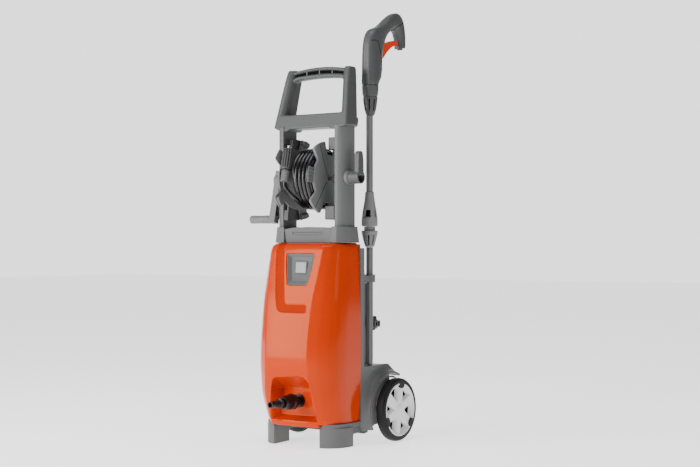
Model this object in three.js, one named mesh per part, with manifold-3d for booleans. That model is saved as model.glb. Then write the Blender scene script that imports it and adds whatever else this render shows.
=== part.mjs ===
// Electric pressure washer with a hose reel, a parked gun and lance, and two wheels.
// Millimetres. X runs to the side with the lance, away from the crank. Y runs to the back, Z up.
// X = 0 is the plane halfway between the wheels. Y = 0 runs through the two posts.
import * as THREE from "three";
import Module from "manifold-3d";
import { mergeVertices } from "three/addons/utils/BufferGeometryUtils.js";

const wasm = await Module();
wasm.setup();

// ---- driving dimensions ----
const GAP = 0.3;
const WHEEL_R = 75;
const WHEEL_OUT = 156;
const TYRE_W = 25;
const RIM_R = 63;
const AXLE_Y = 133;
const AXLE_R = 6;
const WELL_R = 86;
const FLARE_X = 128.5;
const DECK_Z = 181;
const COVER_BACK = 30;
const COVER_TOP = 471;
const WALL = 3.5;
const POST_IN = 73.4;
const POST_Z0 = 478;
const POST_Z1 = 765;
const REEL_Y = 8;
const REEL_Z = 622;
const SHAFT_R = 8;
const HOSE_R = 5;
const NUT_X = -41.5;
const NUT_Y = -63.5;
const NUT_Z = 613;
const NUT_TILT = 12.4;
const NUT_R = 14.8;
const WIND_R = 73;
const CORE_R = 44;
const ARM_IN = -102.3;
const ARM_OUT = -119.5;
const CRANK_TILT = 13;
const CRANK_REACH = 97;
const LANCE_X = 99;
const LANCE_Y = 85;
const INLET_Z = 104.5;
const MOTOR_Y = -4;

// ---- colours ----
const orange = { color: 0xff4a00, roughness: 0.22, metalness: 0 };
const grey = { color: 0x6c6e6f, roughness: 0.5, metalness: 0 };
const paleGrey = { color: 0x9a9c9c, roughness: 0.45, metalness: 0 };
const darkGrey = { color: 0x3b3d3e, roughness: 0.55, metalness: 0 };
const black = { color: 0x141516, roughness: 0.3, metalness: 0 };
const tyreBlack = { color: 0x232425, roughness: 0.7, metalness: 0 };
const rimGrey = { color: 0xc6c8c8, roughness: 0.35, metalness: 0.1 };
const steel = { color: 0xb9bcbf, roughness: 0.25, metalness: 1 };
const brass = { color: 0xc8a24a, roughness: 0.3, metalness: 1 };
const aluminium = { color: 0xa9adb0, roughness: 0.45, metalness: 0.9 };
const copper = { color: 0xb66a35, roughness: 0.35, metalness: 1 };

const group = new THREE.Group();
group.name = "pressure_washer";

// ---- helpers ----
function add(name, geometry, look) {
  const material = new THREE.MeshStandardMaterial(look);
  const mesh = new THREE.Mesh(geometry, material);
  mesh.name = name;
  group.add(mesh);
  return mesh;
}

// A box from its six limits.
function box(x0, x1, y0, y1, z0, z1) {
  const g = new THREE.BoxGeometry(x1 - x0, y1 - y0, z1 - z0);
  g.translate((x0 + x1) / 2, (y0 + y1) / 2, (z0 + z1) / 2);
  return g;
}

// A cylinder along "x", "y" or "z" between a and b. p and q are its two other coordinates.
function rod(axis, r, a, b, p, q, sides = 28, r2 = r) {
  const g = new THREE.CylinderGeometry(r2, r, Math.abs(b - a), sides);
  if (a > b) g.rotateX(Math.PI);
  const mid = (a + b) / 2;
  if (axis === "x") {
    g.rotateZ(-Math.PI / 2);
    g.translate(mid, p, q);
  } else if (axis === "y") {
    g.translate(p, mid, q);
  } else {
    g.rotateX(Math.PI / 2);
    g.translate(p, q, mid);
  }
  return g;
}

function shapeOf(points) {
  return new THREE.Shape(points.map((p) => new THREE.Vector2(p[0], p[1])));
}

// A flat outline in X and Y, raised from z0 to z1.
function prismZ(points, z0, z1) {
  const g = new THREE.ExtrudeGeometry(shapeOf(points), { depth: z1 - z0, bevelEnabled: false });
  g.translate(0, 0, z0);
  return g;
}

// A flat outline in Y and Z, carried from x0 to x1, with rounded rims when bevel is above zero.
function prismX(points, x0, x1, bevel = 0) {
  const g = new THREE.ExtrudeGeometry(shapeOf(points), {
    depth: x1 - x0 - 2 * bevel,
    bevelEnabled: bevel > 0,
    bevelThickness: bevel,
    bevelSize: bevel,
    bevelOffset: -bevel,
    bevelSegments: 3,
  });
  const turn = new THREE.Matrix4().set(0, 0, 1, x0 + bevel, 1, 0, 0, 0, 0, 1, 0, 0, 0, 0, 0, 1);
  g.applyMatrix4(turn);
  return g;
}

// A flat outline in X and Z, carried from y0 to y1.
function prismY(points, y0, y1) {
  const g = new THREE.ExtrudeGeometry(shapeOf(points), { depth: y1 - y0, bevelEnabled: false });
  g.rotateX(Math.PI / 2);
  g.translate(0, y1, 0);
  return g;
}

// A turned body: pairs of radius and distance along the axis, which passes through p and q.
function turned(axis, pairs, p, q, sides = 40) {
  const g = new THREE.LatheGeometry(pairs.map((v) => new THREE.Vector2(v[0], v[1])), sides);
  if (axis === "x") {
    g.rotateZ(-Math.PI / 2);
    g.translate(0, p, q);
  } else if (axis === "y") {
    g.translate(p, 0, q);
  } else {
    g.rotateX(Math.PI / 2);
    g.translate(p, q, 0);
  }
  return g;
}

// A skin over rings of equal point count, closed by a fan at each end.
function loft(rings) {
  const n = rings[0].length;
  const pos = [];
  const index = [];
  for (const ring of rings) {
    for (const p of ring) pos.push(p[0], p[1], p[2]);
  }
  for (let i = 0; i + 1 < rings.length; i += 1) {
    for (let j = 0; j < n; j += 1) {
      const a = i * n + j;
      const b = i * n + ((j + 1) % n);
      index.push(a, b, b + n);
      index.push(a, b + n, a + n);
    }
  }
  for (const end of [0, rings.length - 1]) {
    const ring = rings[end];
    const c = pos.length / 3;
    const mean = [0, 1, 2].map((k) => ring.reduce((s, p) => s + p[k], 0) / n);
    pos.push(mean[0], mean[1], mean[2]);
    for (let j = 0; j < n; j += 1) {
      const a = end * n + j;
      const b = end * n + ((j + 1) % n);
      if (end === 0) index.push(c, b, a);
      else index.push(c, a, b);
    }
  }
  const g = new THREE.BufferGeometry();
  g.setAttribute("position", new THREE.Float32BufferAttribute(pos, 3));
  g.setIndex(index);
  return g;
}

function toManifold(geometry) {
  const g = geometry.clone();
  g.deleteAttribute("normal");
  g.deleteAttribute("uv");
  const m = mergeVertices(g, 1e-4);
  const triVerts = new Uint32Array(m.index.array);
  const mesh = new wasm.Mesh({
    numProp: 3,
    vertProperties: new Float32Array(m.attributes.position.array),
    triVerts,
  });
  const solid = new wasm.Manifold(mesh);
  if (solid.volume() > 0) return solid;
  for (let i = 0; i < triVerts.length; i += 3) {
    const keep = triVerts[i];
    triVerts[i] = triVerts[i + 1];
    triVerts[i + 1] = keep;
  }
  return new wasm.Manifold(
    new wasm.Mesh({ numProp: 3, vertProperties: new Float32Array(m.attributes.position.array), triVerts }),
  );
}

function fromManifold(solid) {
  const mesh = solid.getMesh();
  const g = new THREE.BufferGeometry();
  g.setAttribute("position", new THREE.BufferAttribute(new Float32Array(mesh.vertProperties), 3));
  g.setIndex(new THREE.BufferAttribute(new Uint32Array(mesh.triVerts), 1));
  const flat = g.toNonIndexed();
  flat.computeVertexNormals();
  return flat;
}

// Joins the first list and cuts the second list from it.
function make(joined, cuts = []) {
  let solid = toManifold(joined[0]);
  for (const g of joined.slice(1)) solid = solid.add(toManifold(g));
  for (const g of cuts) solid = solid.subtract(toManifold(g));
  return fromManifold(solid);
}

// Turns a geometry about an axis parallel to X through y and z.
function turnX(geometry, degrees, y, z) {
  geometry.translate(0, -y, -z);
  geometry.rotateX((degrees * Math.PI) / 180);
  geometry.translate(0, y, z);
  return geometry;
}

function mirrored(points) {
  return points.map((p) => [-p[0], p[1]]).reverse();
}

// ---- body ----
// Half widths and depths of the cover at each height: z, front half width, front y, side x.
const COVER_ROWS = [
  [55, 66, -80, 105],
  [66, 68, -85, 106],
  [119, 67, -104, 109],
  [155, 62, -111, 110],
  [191, 59, -114.5, 111],
  [239, 59.4, -112.6, 111],
  [273, 60, -109.4, 110.5],
  [341, 64.2, -100, 109],
  [379, 68, -90.5, 107.5],
  [430, 72, -77, 105.5],
  [458, 73, -69, 104],
  [467, 70, -60, 101],
  [471, 64, -50, 97],
];

// One level outline of the cover, pulled in by t, with its flat back at the given y.
function coverRing(row, t, back, z) {
  const front = row[1] - t * 0.6;
  const y = row[2] + t;
  const side = row[3] - t;
  const w = side - front;
  const h = 52 - t * 0.5;
  const half = [
    [front * 0.55, y - 1.2],
    [front, y],
    [front + 0.42 * w, y + 0.26 * h],
    [front + 0.74 * w, y + 0.58 * h],
    [front + 0.93 * w, y + 0.95 * h],
    [side, y + 1.5 * h],
    [side, back],
  ];
  const right = half.map((p) => [p[0], p[1], z]);
  const left = half.map((p) => [-p[0], p[1], z]).reverse();
  return [...right, ...left];
}

function frontCover() {
  const outer = loft(COVER_ROWS.map((r) => coverRing(r, 0, COVER_BACK, r[0])));
  const innerRows = COVER_ROWS.filter((r) => r[0] > 60 && r[0] < 460);
  const inside = [coverRing(COVER_ROWS[0], WALL, COVER_BACK + 20, 40)];
  for (const r of innerRows) inside.push(coverRing(r, WALL, COVER_BACK + 20, r[0]));
  inside.push(coverRing(COVER_ROWS[12], WALL + 2, COVER_BACK + 20, COVER_TOP - WALL));
  // The water inlet sits in a recess whose walls are part of the cover.
  const block = prismY([[-64, 52], [64, 52], [62, 172], [-62, 172]], -96, -57);
  const blockTrim = loft(COVER_ROWS.map((r) => coverRing(r, 0.4, COVER_BACK, r[0])));
  const keep = toManifold(block).intersect(toManifold(blockTrim));
  const recess = loft([
    [[-68, -130, 61], [68, -130, 61], [66, -130, 148], [50, -130, 168], [-38, -130, 168], [-54, -130, 106]],
    [[-63, -100, 63], [62, -100, 63], [60, -100, 146], [48, -100, 160], [-41, -100, 160], [-53, -100, 105]],
    [[-50, -61, 71], [46, -61, 71], [45, -61, 120], [43, -61, 135], [-46, -61, 135], [-48, -61, 100]],
  ]);
  const lip = prismZ([[-68, -62], [-68, -78.5], [-35, -83], [35, -83], [68, -78.5], [68, -62]], 47.5, 61);
  let shell = toManifold(outer).subtract(toManifold(loft(inside)));
  shell = shell.add(keep).subtract(toManifold(recess)).add(toManifold(lip));
  // Cut the hole for the inlet stub and the window for the switch panel.
  shell = shell.subtract(toManifold(rod("y", 11, -70, -50, 0, INLET_Z)));
  const window = [[-27.5, 446], [-23, 420], [-16, 392], [-11, 373.5], [44, 373.5], [50, 410], [51.5, 446]];
  shell = shell.subtract(toManifold(prismY(window, -110, -56)));
  // The styling groove runs down beside the switch and turns under it.
  shell = shell.subtract(toManifold(coverGroove()));
  return fromManifold(shell);
}

// An L-shaped groove, 2 mm deep, that follows the slope of the front.
function coverGroove() {
  const frontAt = (z) => {
    const rows = COVER_ROWS;
    let i = 0;
    while (i + 2 < rows.length && rows[i + 1][0] < z) i += 1;
    const k = (z - rows[i][0]) / (rows[i + 1][0] - rows[i][0]);
    return rows[i][2] + k * (rows[i + 1][2] - rows[i][2]);
  };
  const ring = (left, right, z) => {
    const y = frontAt(z);
    return [[left, y - 12, z], [right, y - 12, z], [right, y + 2, z], [left, y + 2, z]];
  };
  const upright = [[-33, -16, 318], [-38.5, -15.4, 341], [-46, -22.6, 379], [-55.7, -33.2, 430],
    [-58.6, -37.7, 457]];
  const foot = [[-31, 46, 311], [-34.5, 49, 320], [-36, 47, 329]];
  return make([loft(upright.map((v) => ring(...v))), loft(foot.map((v) => ring(...v)))]);
}

function footOutline(side) {
  const p = [[65, -72], [84, -66], [99, -53], [108, -36], [111, -18], [109, 2], [70, -6]];
  return side > 0 ? p : mirrored(p);
}

// The hollow flare that runs round the front of a wheel, from the side of the body to the tyre.
function fenderFlare(side) {
  const pairs = [[WELL_R - 4, 100], [WELL_R - 4, FLARE_X], [WELL_R + 4, FLARE_X], [91, 121], [95, 115],
    [101, 111.5], [107, 110], [107, 100], [WELL_R - 4, 100]];
  const ring = turned("x", pairs, AXLE_Y, WHEEL_R, 72);
  const reach = [[31, 44], [44, 30], [62, 34], [AXLE_Y, WHEEL_R], [176, 158], [150, DECK_Z], [31, DECK_Z]];
  const wedge = prismX(reach, 90, 140);
  if (side < 0) ring.scale(-1, 1, 1);
  if (side < 0) wedge.scale(-1, 1, 1);
  return fromManifold(toManifold(ring).intersect(toManifold(wedge)));
}

function rearChassis() {
  const joined = [];
  const cuts = [];
  // Base tray and skirt.
  joined.push(prismZ([[-66, -58], [66, -58], [88, -58], [103, -40], [108, -12], [110, 48], [-110, 48],
    [-108, -12], [-103, -40], [-88, -58]], 44, 54.5));
  for (const side of [-1, 1]) joined.push(prismZ(footOutline(side), 0, 45));
  // The part of the skirt that meets the lower rim of the cover.
  joined.push(prismZ([[70, -70], [84, -66], [98, -53], [106, -34], [108, -12], [70, -12]], 30, 54.5));
  joined.push(prismZ([[-70, -12], [-108, -12], [-106, -34], [-98, -53], [-84, -66], [-70, -70]], 30, 54.5));
  // Frame behind the cover.
  joined.push(box(-110, 110, 30.3, 47, 54, 459));
  joined.push(box(-98, 98, 30.3, 47, 458, 468));
  // Rear block that carries the axle, with a deck on top.
  const side = [[46, 24], [100, 31], [150, 34], [172, 52], [184, 92], [184, 146], [170, 152], [142, 178],
    [138, DECK_Z], [46, DECK_Z]];
  joined.push(prismX(side, -110, 110));
  for (const s of [-1, 1]) joined.push(fenderFlare(s));
  cuts.push(box(-98, 98, 25, 44, 58, 452));
  cuts.push(box(-79, 79, 40, 60, 182, 380));
  cuts.push(box(-61, 61, 40, 60, 370, 440));
  cuts.push(box(-72, 72, 40, 168, 54.5, 170));
  for (const s of [-1, 1]) {
    cuts.push(rod("x", WELL_R, s * 79, s * 135, AXLE_Y, WHEEL_R, 56));
  }
  cuts.push(rod("x", AXLE_R + GAP, -100, 100, AXLE_Y, WHEEL_R, 24));
  return make(joined, cuts);
}

function rearCover() {
  const low = [[47.3, DECK_Z + GAP], [95, DECK_Z + GAP], [95, 372], [84, 386], [47.3, 386]];
  const high = [[47.3, 380], [78, 380], [76, 432], [66, 446], [47.3, 446]];
  const joined = [prismX(low, -84, 84), prismX(high, -66, 66)];
  const cuts = [box(-80, 80, 40, 91, 160, 382), box(-62, 62, 40, 72, 370, 441)];
  for (let i = 0; i < 7; i += 1) {
    const z = 205 + i * 20;
    cuts.push(box(-55, 55, 85, 100, z, z + 8));
  }
  cuts.push(rod("y", 7.3, 80, 100, -52, 352, 24));
  return make(joined, cuts);
}

// Outline of a post, seen from above, grown by t. The flat face looks at the other post.
function postOutline(side, t) {
  const p = [
    [POST_IN - t, -25.5 - t],
    [81 + t * 0.5, -25.5 - t],
    [90 + t * 0.8, -20 - t * 0.6],
    [97 + t, -9 - t * 0.3],
    [101 + t, 4],
    [101.5 + t, 16],
    [97 + t, 26 + t * 0.6],
    [90 + t * 0.5, 30 + t],
    [POST_IN - t, 30 + t],
  ];
  return side > 0 ? p : mirrored(p);
}

function collar() {
  const joined = [];
  const cuts = [];
  for (const side of [-1, 1]) {
    const low = postOutline(side, 9).map((p) => [p[0], p[1], COVER_TOP + GAP]);
    const high = postOutline(side, 5).map((p) => [p[0], p[1], 509]);
    joined.push(loft([low, high]));
    cuts.push(prismZ(postOutline(side, GAP), POST_Z0 - GAP, 520));
  }
  const arch = [[-74, COVER_TOP + GAP], [74, COVER_TOP + GAP], [74, 503], [45, 507], [0, 508.5], [-45, 507],
    [-74, 503]];
  joined.push(prismY(arch, -29, 32));
  cuts.push(box(-44, 44, -40, -27.4, 490, 496));
  return make(joined, cuts);
}

function post(side) {
  const joined = [prismZ(postOutline(side, 0), POST_Z0, POST_Z1)];
  const cuts = [];
  if (side < 0) cuts.push(rod("x", SHAFT_R + GAP, -110, -60, REEL_Y, REEL_Z, 24));
  if (side > 0) joined.push(rod("x", 17, 90, 103.5, -2, 623, 24));
  return make(joined, cuts);
}

// ---- handle ----
function handleFrame() {
  const ring = (x, y0, y1, z, c) => [
    [-x + c, y0, z], [x - c, y0, z], [x, y0 + c, z], [x, y1 - c, z],
    [x - c, y1, z], [-x + c, y1, z], [-x, y1 - c, z], [-x, y0 + c, z],
  ];
  const body = loft([
    ring(107, -23, 31, 742, 6),
    ring(103.5, -15, 36, 775, 6),
    ring(94, 6, 47, 862, 6),
    ring(91, 13, 50, 884, 7),
  ]);
  const crown = prismY([[-86, 870], [86, 870], [90, 884], [72, 880], [40, 888], [0, 890.5], [-40, 888],
    [-72, 880], [-90, 884]], 14, 50);
  const cap = toManifold(crown).intersect(
    toManifold(prismX([[12, 860], [51, 860], [51, 880], [44, 893], [20, 893], [12, 880]], -95, 95)),
  );
  const hole = prismY([[-72, 771], [-79, 780], [-79, 786], [-70, 848], [-60, 860], [0, 863.5], [60, 860],
    [70, 848], [79, 786], [79, 780], [72, 771]], -60, 90);
  const slot = prismY([[-60, 869], [0, 873], [60, 869], [60, 875], [0, 879], [-60, 875]], -20, 18);
  let solid = toManifold(body).add(cap).subtract(toManifold(hole)).subtract(toManifold(slot));
  for (const side of [-1, 1]) {
    solid = solid.subtract(toManifold(prismZ(postOutline(side, GAP), 735, POST_Z1 + GAP)));
  }
  return fromManifold(solid);
}

// The dark ribbed strip let into the front of the grip.
function gripInsert() {
  const strip = [[-59.7, 869.4], [0, 873.4], [59.7, 869.4], [59.7, 874.6], [0, 878.6], [-59.7, 874.6]];
  return make([prismY(strip, 15, 17.7)]);
}

// ---- switch ----
function switchPanel() {
  const outline = [[-27, 445.5], [-22.5, 420], [-15.5, 392], [-10.6, 374], [43.6, 374], [49.5, 410],
    [51, 445.5]];
  const shrink = (k) => outline.map((v) => [12 + (v[0] - 12) * k, 411 + (v[1] - 411) * k]);
  const frame = loft([
    outline.map((v) => [v[0], -86 + (v[1] - 374) * 0.27, v[1]]),
    outline.map((v) => [v[0], -57, v[1]]),
  ]);
  const inner = loft([
    shrink(0.9).map((v) => [v[0], -110, v[1]]),
    shrink(0.78).map((v) => [v[0], -62, v[1]]),
  ]);
  const hole = box(-1, 30, -80, -50, 400, 428);
  return fromManifold(toManifold(frame).subtract(toManifold(inner)).subtract(toManifold(hole)));
}

function powerSwitch() {
  const rocker = [[-58, 401], [-58, 427], [-69, 427], [-72.5, 421], [-72.5, 407], [-69, 401]];
  return make([prismX(rocker, -0.4, 29.4)]);
}

// ---- reel ----
function reelBracket(side) {
  const face = side > 0 ? 46.6 : 61;
  const back = side > 0 ? 24 : 40;
  const cheek = [[-25, 525], [22, 525], [30, 548], [30, 700], [24, 718], [-5, 718]];
  const plate = prismX(cheek, face, face + 4);
  const top = prismX([[-5, 696], [back, 697], [back, 716], [-5, 718]], face, POST_IN - GAP);
  const bottom = prismX([[-24.5, 525], [back - 2, 527], [back - 2, 547], [-22, 549]], face, POST_IN - GAP);
  const boss = rod("x", 20, face, POST_IN - GAP, REEL_Y, REEL_Z, 24);
  const bore = rod("x", SHAFT_R + GAP, 40, 80, REEL_Y, REEL_Z, 24);
  const parts = [plate, top, bottom, boss, bore];
  if (side < 0) parts.forEach((g) => g.rotateZ(Math.PI));
  if (side < 0) parts.forEach((g) => g.scale(1, -1, 1));
  return make(parts.slice(0, 4), [bore]);
}

// A flange outline: lobes of radius high, spaced evenly from the first angle, over a rim of radius low.
function flangeOutline(count, first, half, low, high) {
  const points = [];
  const put = (degrees, r) => {
    const a = (degrees * Math.PI) / 180;
    points.push([REEL_Y + r * Math.cos(a), REEL_Z + r * Math.sin(a)]);
  };
  const pitch = 360 / count;
  for (let i = 0; i < count; i += 1) {
    const mid = first + i * pitch;
    put(mid - half - 3, low);
    put(mid - half, high - 5);
    put(mid - half + 4, high);
    put(mid, high);
    put(mid + half - 4, high);
    put(mid + half, high - 5);
    put(mid + half + 3, low);
    const rest = pitch - 2 * half - 6;
    for (let k = 1; k < 4; k += 1) put(mid + half + 3 + (rest * k) / 4, low);
  }
  return points;
}

function reelDrum() {
  const core = rod("x", CORE_R - GAP, -58, 30, REEL_Y, REEL_Z, 40);
  const right = prismX(flangeOutline(3, 113, 16, 57, 88), 29, 33.5);
  const tabs = prismX(flangeOutline(3, 173, 15, 50, 76), 27, 30);
  const left = prismX(flangeOutline(5, 143, 10, 72, 99), -59.6, -56.6);
  const hub = rod("x", 16, 32, 45.8, REEL_Y, REEL_Z, 24);
  const ribs = [113, 233, 353].map((d) => {
    const rib = box(33, 37, REEL_Y + 10, REEL_Y + 74, REEL_Z - 3, REEL_Z + 3);
    return turnX(rib, d, REEL_Y, REEL_Z);
  });
  const bore = rod("x", SHAFT_R + GAP, -70, 60, REEL_Y, REEL_Z, 24);
  return make([core, right, tabs, left, hub, ...ribs], [bore]);
}

function reelShaft() {
  return make([rod("x", SHAFT_R, ARM_OUT + 2, 72, REEL_Y, REEL_Z, 24)]);
}

// The wound hose, five turns wide.
function hoseWinding() {
  const pitch = 10.6;
  const outer = [];
  for (let turn = 0; turn < 5; turn += 1) {
    const mid = (turn - 2) * pitch;
    for (const deg of [155, 115, 65, 25]) {
      const a = (deg * Math.PI) / 180;
      outer.push([WIND_R - HOSE_R + HOSE_R * Math.sin(a), mid + (HOSE_R + 0.3) * Math.cos(a)]);
    }
  }
  const profile = [[CORE_R, -26.5], ...outer, [CORE_R, 26.5], [CORE_R, -26.5]];
  return make([turned("x", profile, REEL_Y, REEL_Z, 40)]);
}

// The loose end of the hose, from beside the turns up to the coupling.
function hoseTail() {
  const path = new THREE.CatmullRomCurve3([
    new THREE.Vector3(-32.2, -55.5, 586.5),
    new THREE.Vector3(-36.4, -60.2, 592.8),
    new THREE.Vector3(-40, -63.5, 600),
    new THREE.Vector3(-41.4, -64.6, 607),
    new THREE.Vector3(NUT_X, NUT_Y - 0.1, NUT_Z - 0.6),
  ]);
  const circle = [];
  for (let i = 0; i < 12; i += 1) {
    const a = (i / 12) * Math.PI * 2;
    circle.push([4.8 * Math.cos(a), 4.8 * Math.sin(a)]);
  }
  const g = new THREE.ExtrudeGeometry(shapeOf(circle), { steps: 8, extrudePath: path, bevelEnabled: false });
  return make([g]);
}

// Leans the coupling at the hose end back round the reel.
function lean(geometry) {
  return turnX(geometry, -NUT_TILT, NUT_Y, NUT_Z);
}

function hoseNut() {
  const points = [];
  const ribs = 14;
  for (let i = 0; i < ribs * 2; i += 1) {
    const a = (i / (ribs * 2)) * Math.PI * 2;
    const r = i % 2 === 0 ? NUT_R : NUT_R - 1.2;
    points.push([NUT_X + r * Math.cos(a), NUT_Y + r * Math.sin(a)]);
  }
  const body = prismZ(points, NUT_Z + 30, NUT_Z + 82.5);
  return lean(make([body], [rod("z", 5.3, NUT_Z + 20, NUT_Z + 95, NUT_X, NUT_Y, 24)]));
}

function hoseNipple() {
  const profile = [[0, 0.3], [10.3, 0.3], [10.8, 4], [10.2, 9], [10.8, 14], [10.2, 19], [10.8, 25],
    [9.5, 29.6], [5, 29.6], [5, 88], [3, 88], [3, 75], [0, 75]];
  const stem = turned("z", profile.map((v) => [v[0], v[1] + NUT_Z]), NUT_X, NUT_Y, 20);
  return lean(make([stem]));
}

function crankArm() {
  const bar = box(ARM_OUT, ARM_IN, REEL_Y - 9, REEL_Y + 9, REEL_Z - 106, REEL_Z + 22);
  const head = rod("x", 13, ARM_OUT, ARM_IN, REEL_Y, REEL_Z, 24);
  const channel = box(ARM_OUT + 3, ARM_IN + 5, REEL_Y - 6.5, REEL_Y + 6.5, REEL_Z - 88, REEL_Z - 16);
  const bore = rod("x", SHAFT_R + GAP, ARM_OUT + 1.7, ARM_IN + 5, REEL_Y, REEL_Z, 24);
  const pin = rod("x", 4.3, ARM_OUT - 5, ARM_IN + 5, REEL_Y, REEL_Z - CRANK_REACH, 24);
  const geometry = make([bar, head], [channel, bore, pin]);
  return turnX(geometry, -CRANK_TILT, REEL_Y, REEL_Z);
}

function crankKnob() {
  const z = REEL_Z - CRANK_REACH;
  const grip = turned("x", [[0, -179], [8.5, -179], [10, -177], [9.6, -150], [10, -123], [9, ARM_OUT - GAP],
    [4, ARM_OUT - GAP], [4, ARM_IN - 1], [0, ARM_IN - 1]], REEL_Y, z, 28);
  return turnX(make([grip]), -CRANK_TILT, REEL_Y, REEL_Z);
}

// ---- cable hook ----
function cableHook() {
  const barrel = rod("x", 15.5, 103.8, 134, -2, 623, 24);
  const prong = prismX([[-10, 625], [6, 625], [5, 676], [2, 683], [-6, 683], [-9, 676]], 122, 134, 2);
  const socket = rod("x", 9, 112, 140, -2, 623, 24);
  return make([barrel, prong], [socket]);
}

// ---- wheels ----
function tyre(side) {
  const i = WHEEL_OUT - TYRE_W;
  const o = WHEEL_OUT;
  const pairs = [[RIM_R, i + 2], [70, i], [74, i + 3], [WHEEL_R, i + 8], [WHEEL_R, o - 8], [74, o - 3],
    [71, o], [RIM_R, o - 0.5], [RIM_R, i + 2]];
  const g = turned("x", pairs, AXLE_Y, WHEEL_R, 44);
  if (side < 0) g.scale(-1, 1, 1);
  return make([g]);
}

function rim(side) {
  const i = WHEEL_OUT - TYRE_W;
  const o = WHEEL_OUT;
  const r = RIM_R - GAP;
  const pairs = [[AXLE_R + GAP, i - 2], [14, i - 2], [14, o - 14], [r - 4, o - 9], [r - 4, i + 3],
    [r, i + 3], [r, o - 1], [r - 3, o], [r - 6, o - 3], [16, o - 5], [AXLE_R + GAP, o - 4],
    [AXLE_R + GAP, i - 2]];
  const dish = turned("x", pairs, AXLE_Y, WHEEL_R, 44);
  const windows = [];
  for (let k = 0; k < 6; k += 1) {
    const tri = [[AXLE_Y + 24, WHEEL_R], [AXLE_Y + 54, WHEEL_R - 15], [AXLE_Y + 54, WHEEL_R + 15]];
    windows.push(turnX(prismX(tri, o - 20, o + 5), k * 60 - 7, AXLE_Y, WHEEL_R));
  }
  const all = [dish, ...windows];
  if (side < 0) all.forEach((g) => g.scale(-1, 1, 1));
  return make([dish], windows);
}

function hubCap(side) {
  const o = WHEEL_OUT;
  const pairs = [[0, o - 3.7], [15, o - 4.3], [14.5, o - 2], [9, o + 0.5], [0, o + 1.2]];
  const dome = turned("x", pairs, AXLE_Y, WHEEL_R, 24);
  if (side < 0) dome.scale(-1, 1, 1);
  return make([dome]);
}

// ---- water inlet ----
function inletStub() {
  const flange = rod("y", 16, -64, -61.3, 0, INLET_Z, 24);
  const stem = rod("y", 10.6, -92, -44, 0, INLET_Z, 24);
  const bore = rod("y", 6, -100, -50, 0, INLET_Z, 24);
  return make([flange, stem], [bore]);
}

function inletSleeve() {
  const pairs = [[10.9, -85], [16.5, -85], [18.5, -88], [18.5, -96], [16, -99], [16.5, -108], [15.5, -121],
    [13, -127], [10.9, -127], [10.9, -85]];
  return make([turned("y", pairs, 0, INLET_Z, 36)]);
}

function inletTail() {
  const pairs = [[0, -92.5], [10.4, -92.5], [10.4, -131], [12, -134], [12, -139], [8, -141], [8.6, -148],
    [7.6, -149], [8.6, -157], [7.6, -158], [8.4, -171], [7.6, -172.5], [5, -172.5], [5, -110], [0, -110]];
  return make([turned("y", pairs, 0, INLET_Z, 24)]);
}

// ---- lance and gun ----
function lanceLower() {
  const pairs = [[0, DECK_Z + GAP], [6, DECK_Z + GAP], [8, DECK_Z + 4], [8.5, DECK_Z + 20], [8.5, 461],
    [0, 461]];
  return make([turned("z", pairs, LANCE_X, LANCE_Y, 24)]);
}

function lanceBell(lower) {
  const down = [[0, 461.3], [10, 461.3], [13, 470], [17.5, 490], [19.5, 500], [0, 500]];
  const up = [[0, 510.3], [19.5, 510.3], [19, 530], [14, 560], [10.5, 592], [0, 592]];
  return make([turned("z", lower ? down : up, LANCE_X, LANCE_Y, 24)]);
}

function lanceRing() {
  return make([turned("z", [[0, 500.3], [13.5, 500.3], [13.5, 510], [0, 510]], LANCE_X, LANCE_Y, 24)]);
}

function lanceUpper() {
  const pairs = [[0, 592.3], [8.5, 592.3], [8.5, 773], [0, 773]];
  return make([turned("z", pairs, LANCE_X, LANCE_Y, 24)]);
}

function gunNose() {
  const pairs = [[0, 773.3], [11.5, 773.3], [14.5, 785], [18, 815], [20, 838], [18, 844.5], [0, 844.5]];
  return make([turned("z", pairs, LANCE_X, LANCE_Y + 3, 24)]);
}

const GUN = [[70, 845], [69, 880], [70, 930], [75, 964], [88, 981], [106, 984], [128, 995], [165, 1021],
  [195, 1034], [214, 1029], [226, 1008], [231, 978], [231, 958], [223, 949], [208, 951], [204, 968],
  [194, 984], [178, 988], [158, 977], [144, 961], [134, 942], [126, 922], [124, 890], [120, 856],
  [110, 845]];

function gunHalf(side) {
  const x0 = side > 0 ? LANCE_X + 0.15 : LANCE_X - 17;
  const x1 = side > 0 ? LANCE_X + 17 : LANCE_X - 0.15;
  const shell = prismX(GUN, LANCE_X - 17, LANCE_X + 17, 5);
  const half = toManifold(shell).intersect(toManifold(box(x0, x1, 0, 300, 800, 1100)));
  const slot = box(LANCE_X - 7.3, LANCE_X + 7.3, 108, 150, 918, 966);
  const pin = rod("x", 3.2, LANCE_X - 11, LANCE_X + 11, 122, 938, 16);
  return fromManifold(half.subtract(toManifold(slot)).subtract(toManifold(pin)));
}

function trigger() {
  const lever = [[117, 934], [117, 942], [124, 946], [140, 950], [165, 956], [186, 961], [192, 958],
    [190, 954], [168, 947], [146, 938], [132, 928], [122, 930]];
  const blade = prismX(lever, LANCE_X - 7, LANCE_X + 7, 1.5);
  const pin = rod("x", 3, LANCE_X - 10.5, LANCE_X + 10.5, 122, 938, 16);
  return make([blade, pin]);
}

function gunInlet() {
  const stub = turned("z", [[0, 944], [6.5, 944], [7, 947], [0, 948.5]], LANCE_X, 219, 24);
  return make([stub]);
}

function lanceHolder() {
  const ring = rod("z", 13.5, 378, 396, LANCE_X, LANCE_Y, 36);
  const arm = box(92, 106, 47.3, 76, 380, 394);
  const foot = box(86, 109, 47.3, 51, 374, 400);
  const bore = rod("z", 8.5 + GAP, 370, 400, LANCE_X, LANCE_Y, 24);
  return make([ring, arm, foot], [bore]);
}

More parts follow.
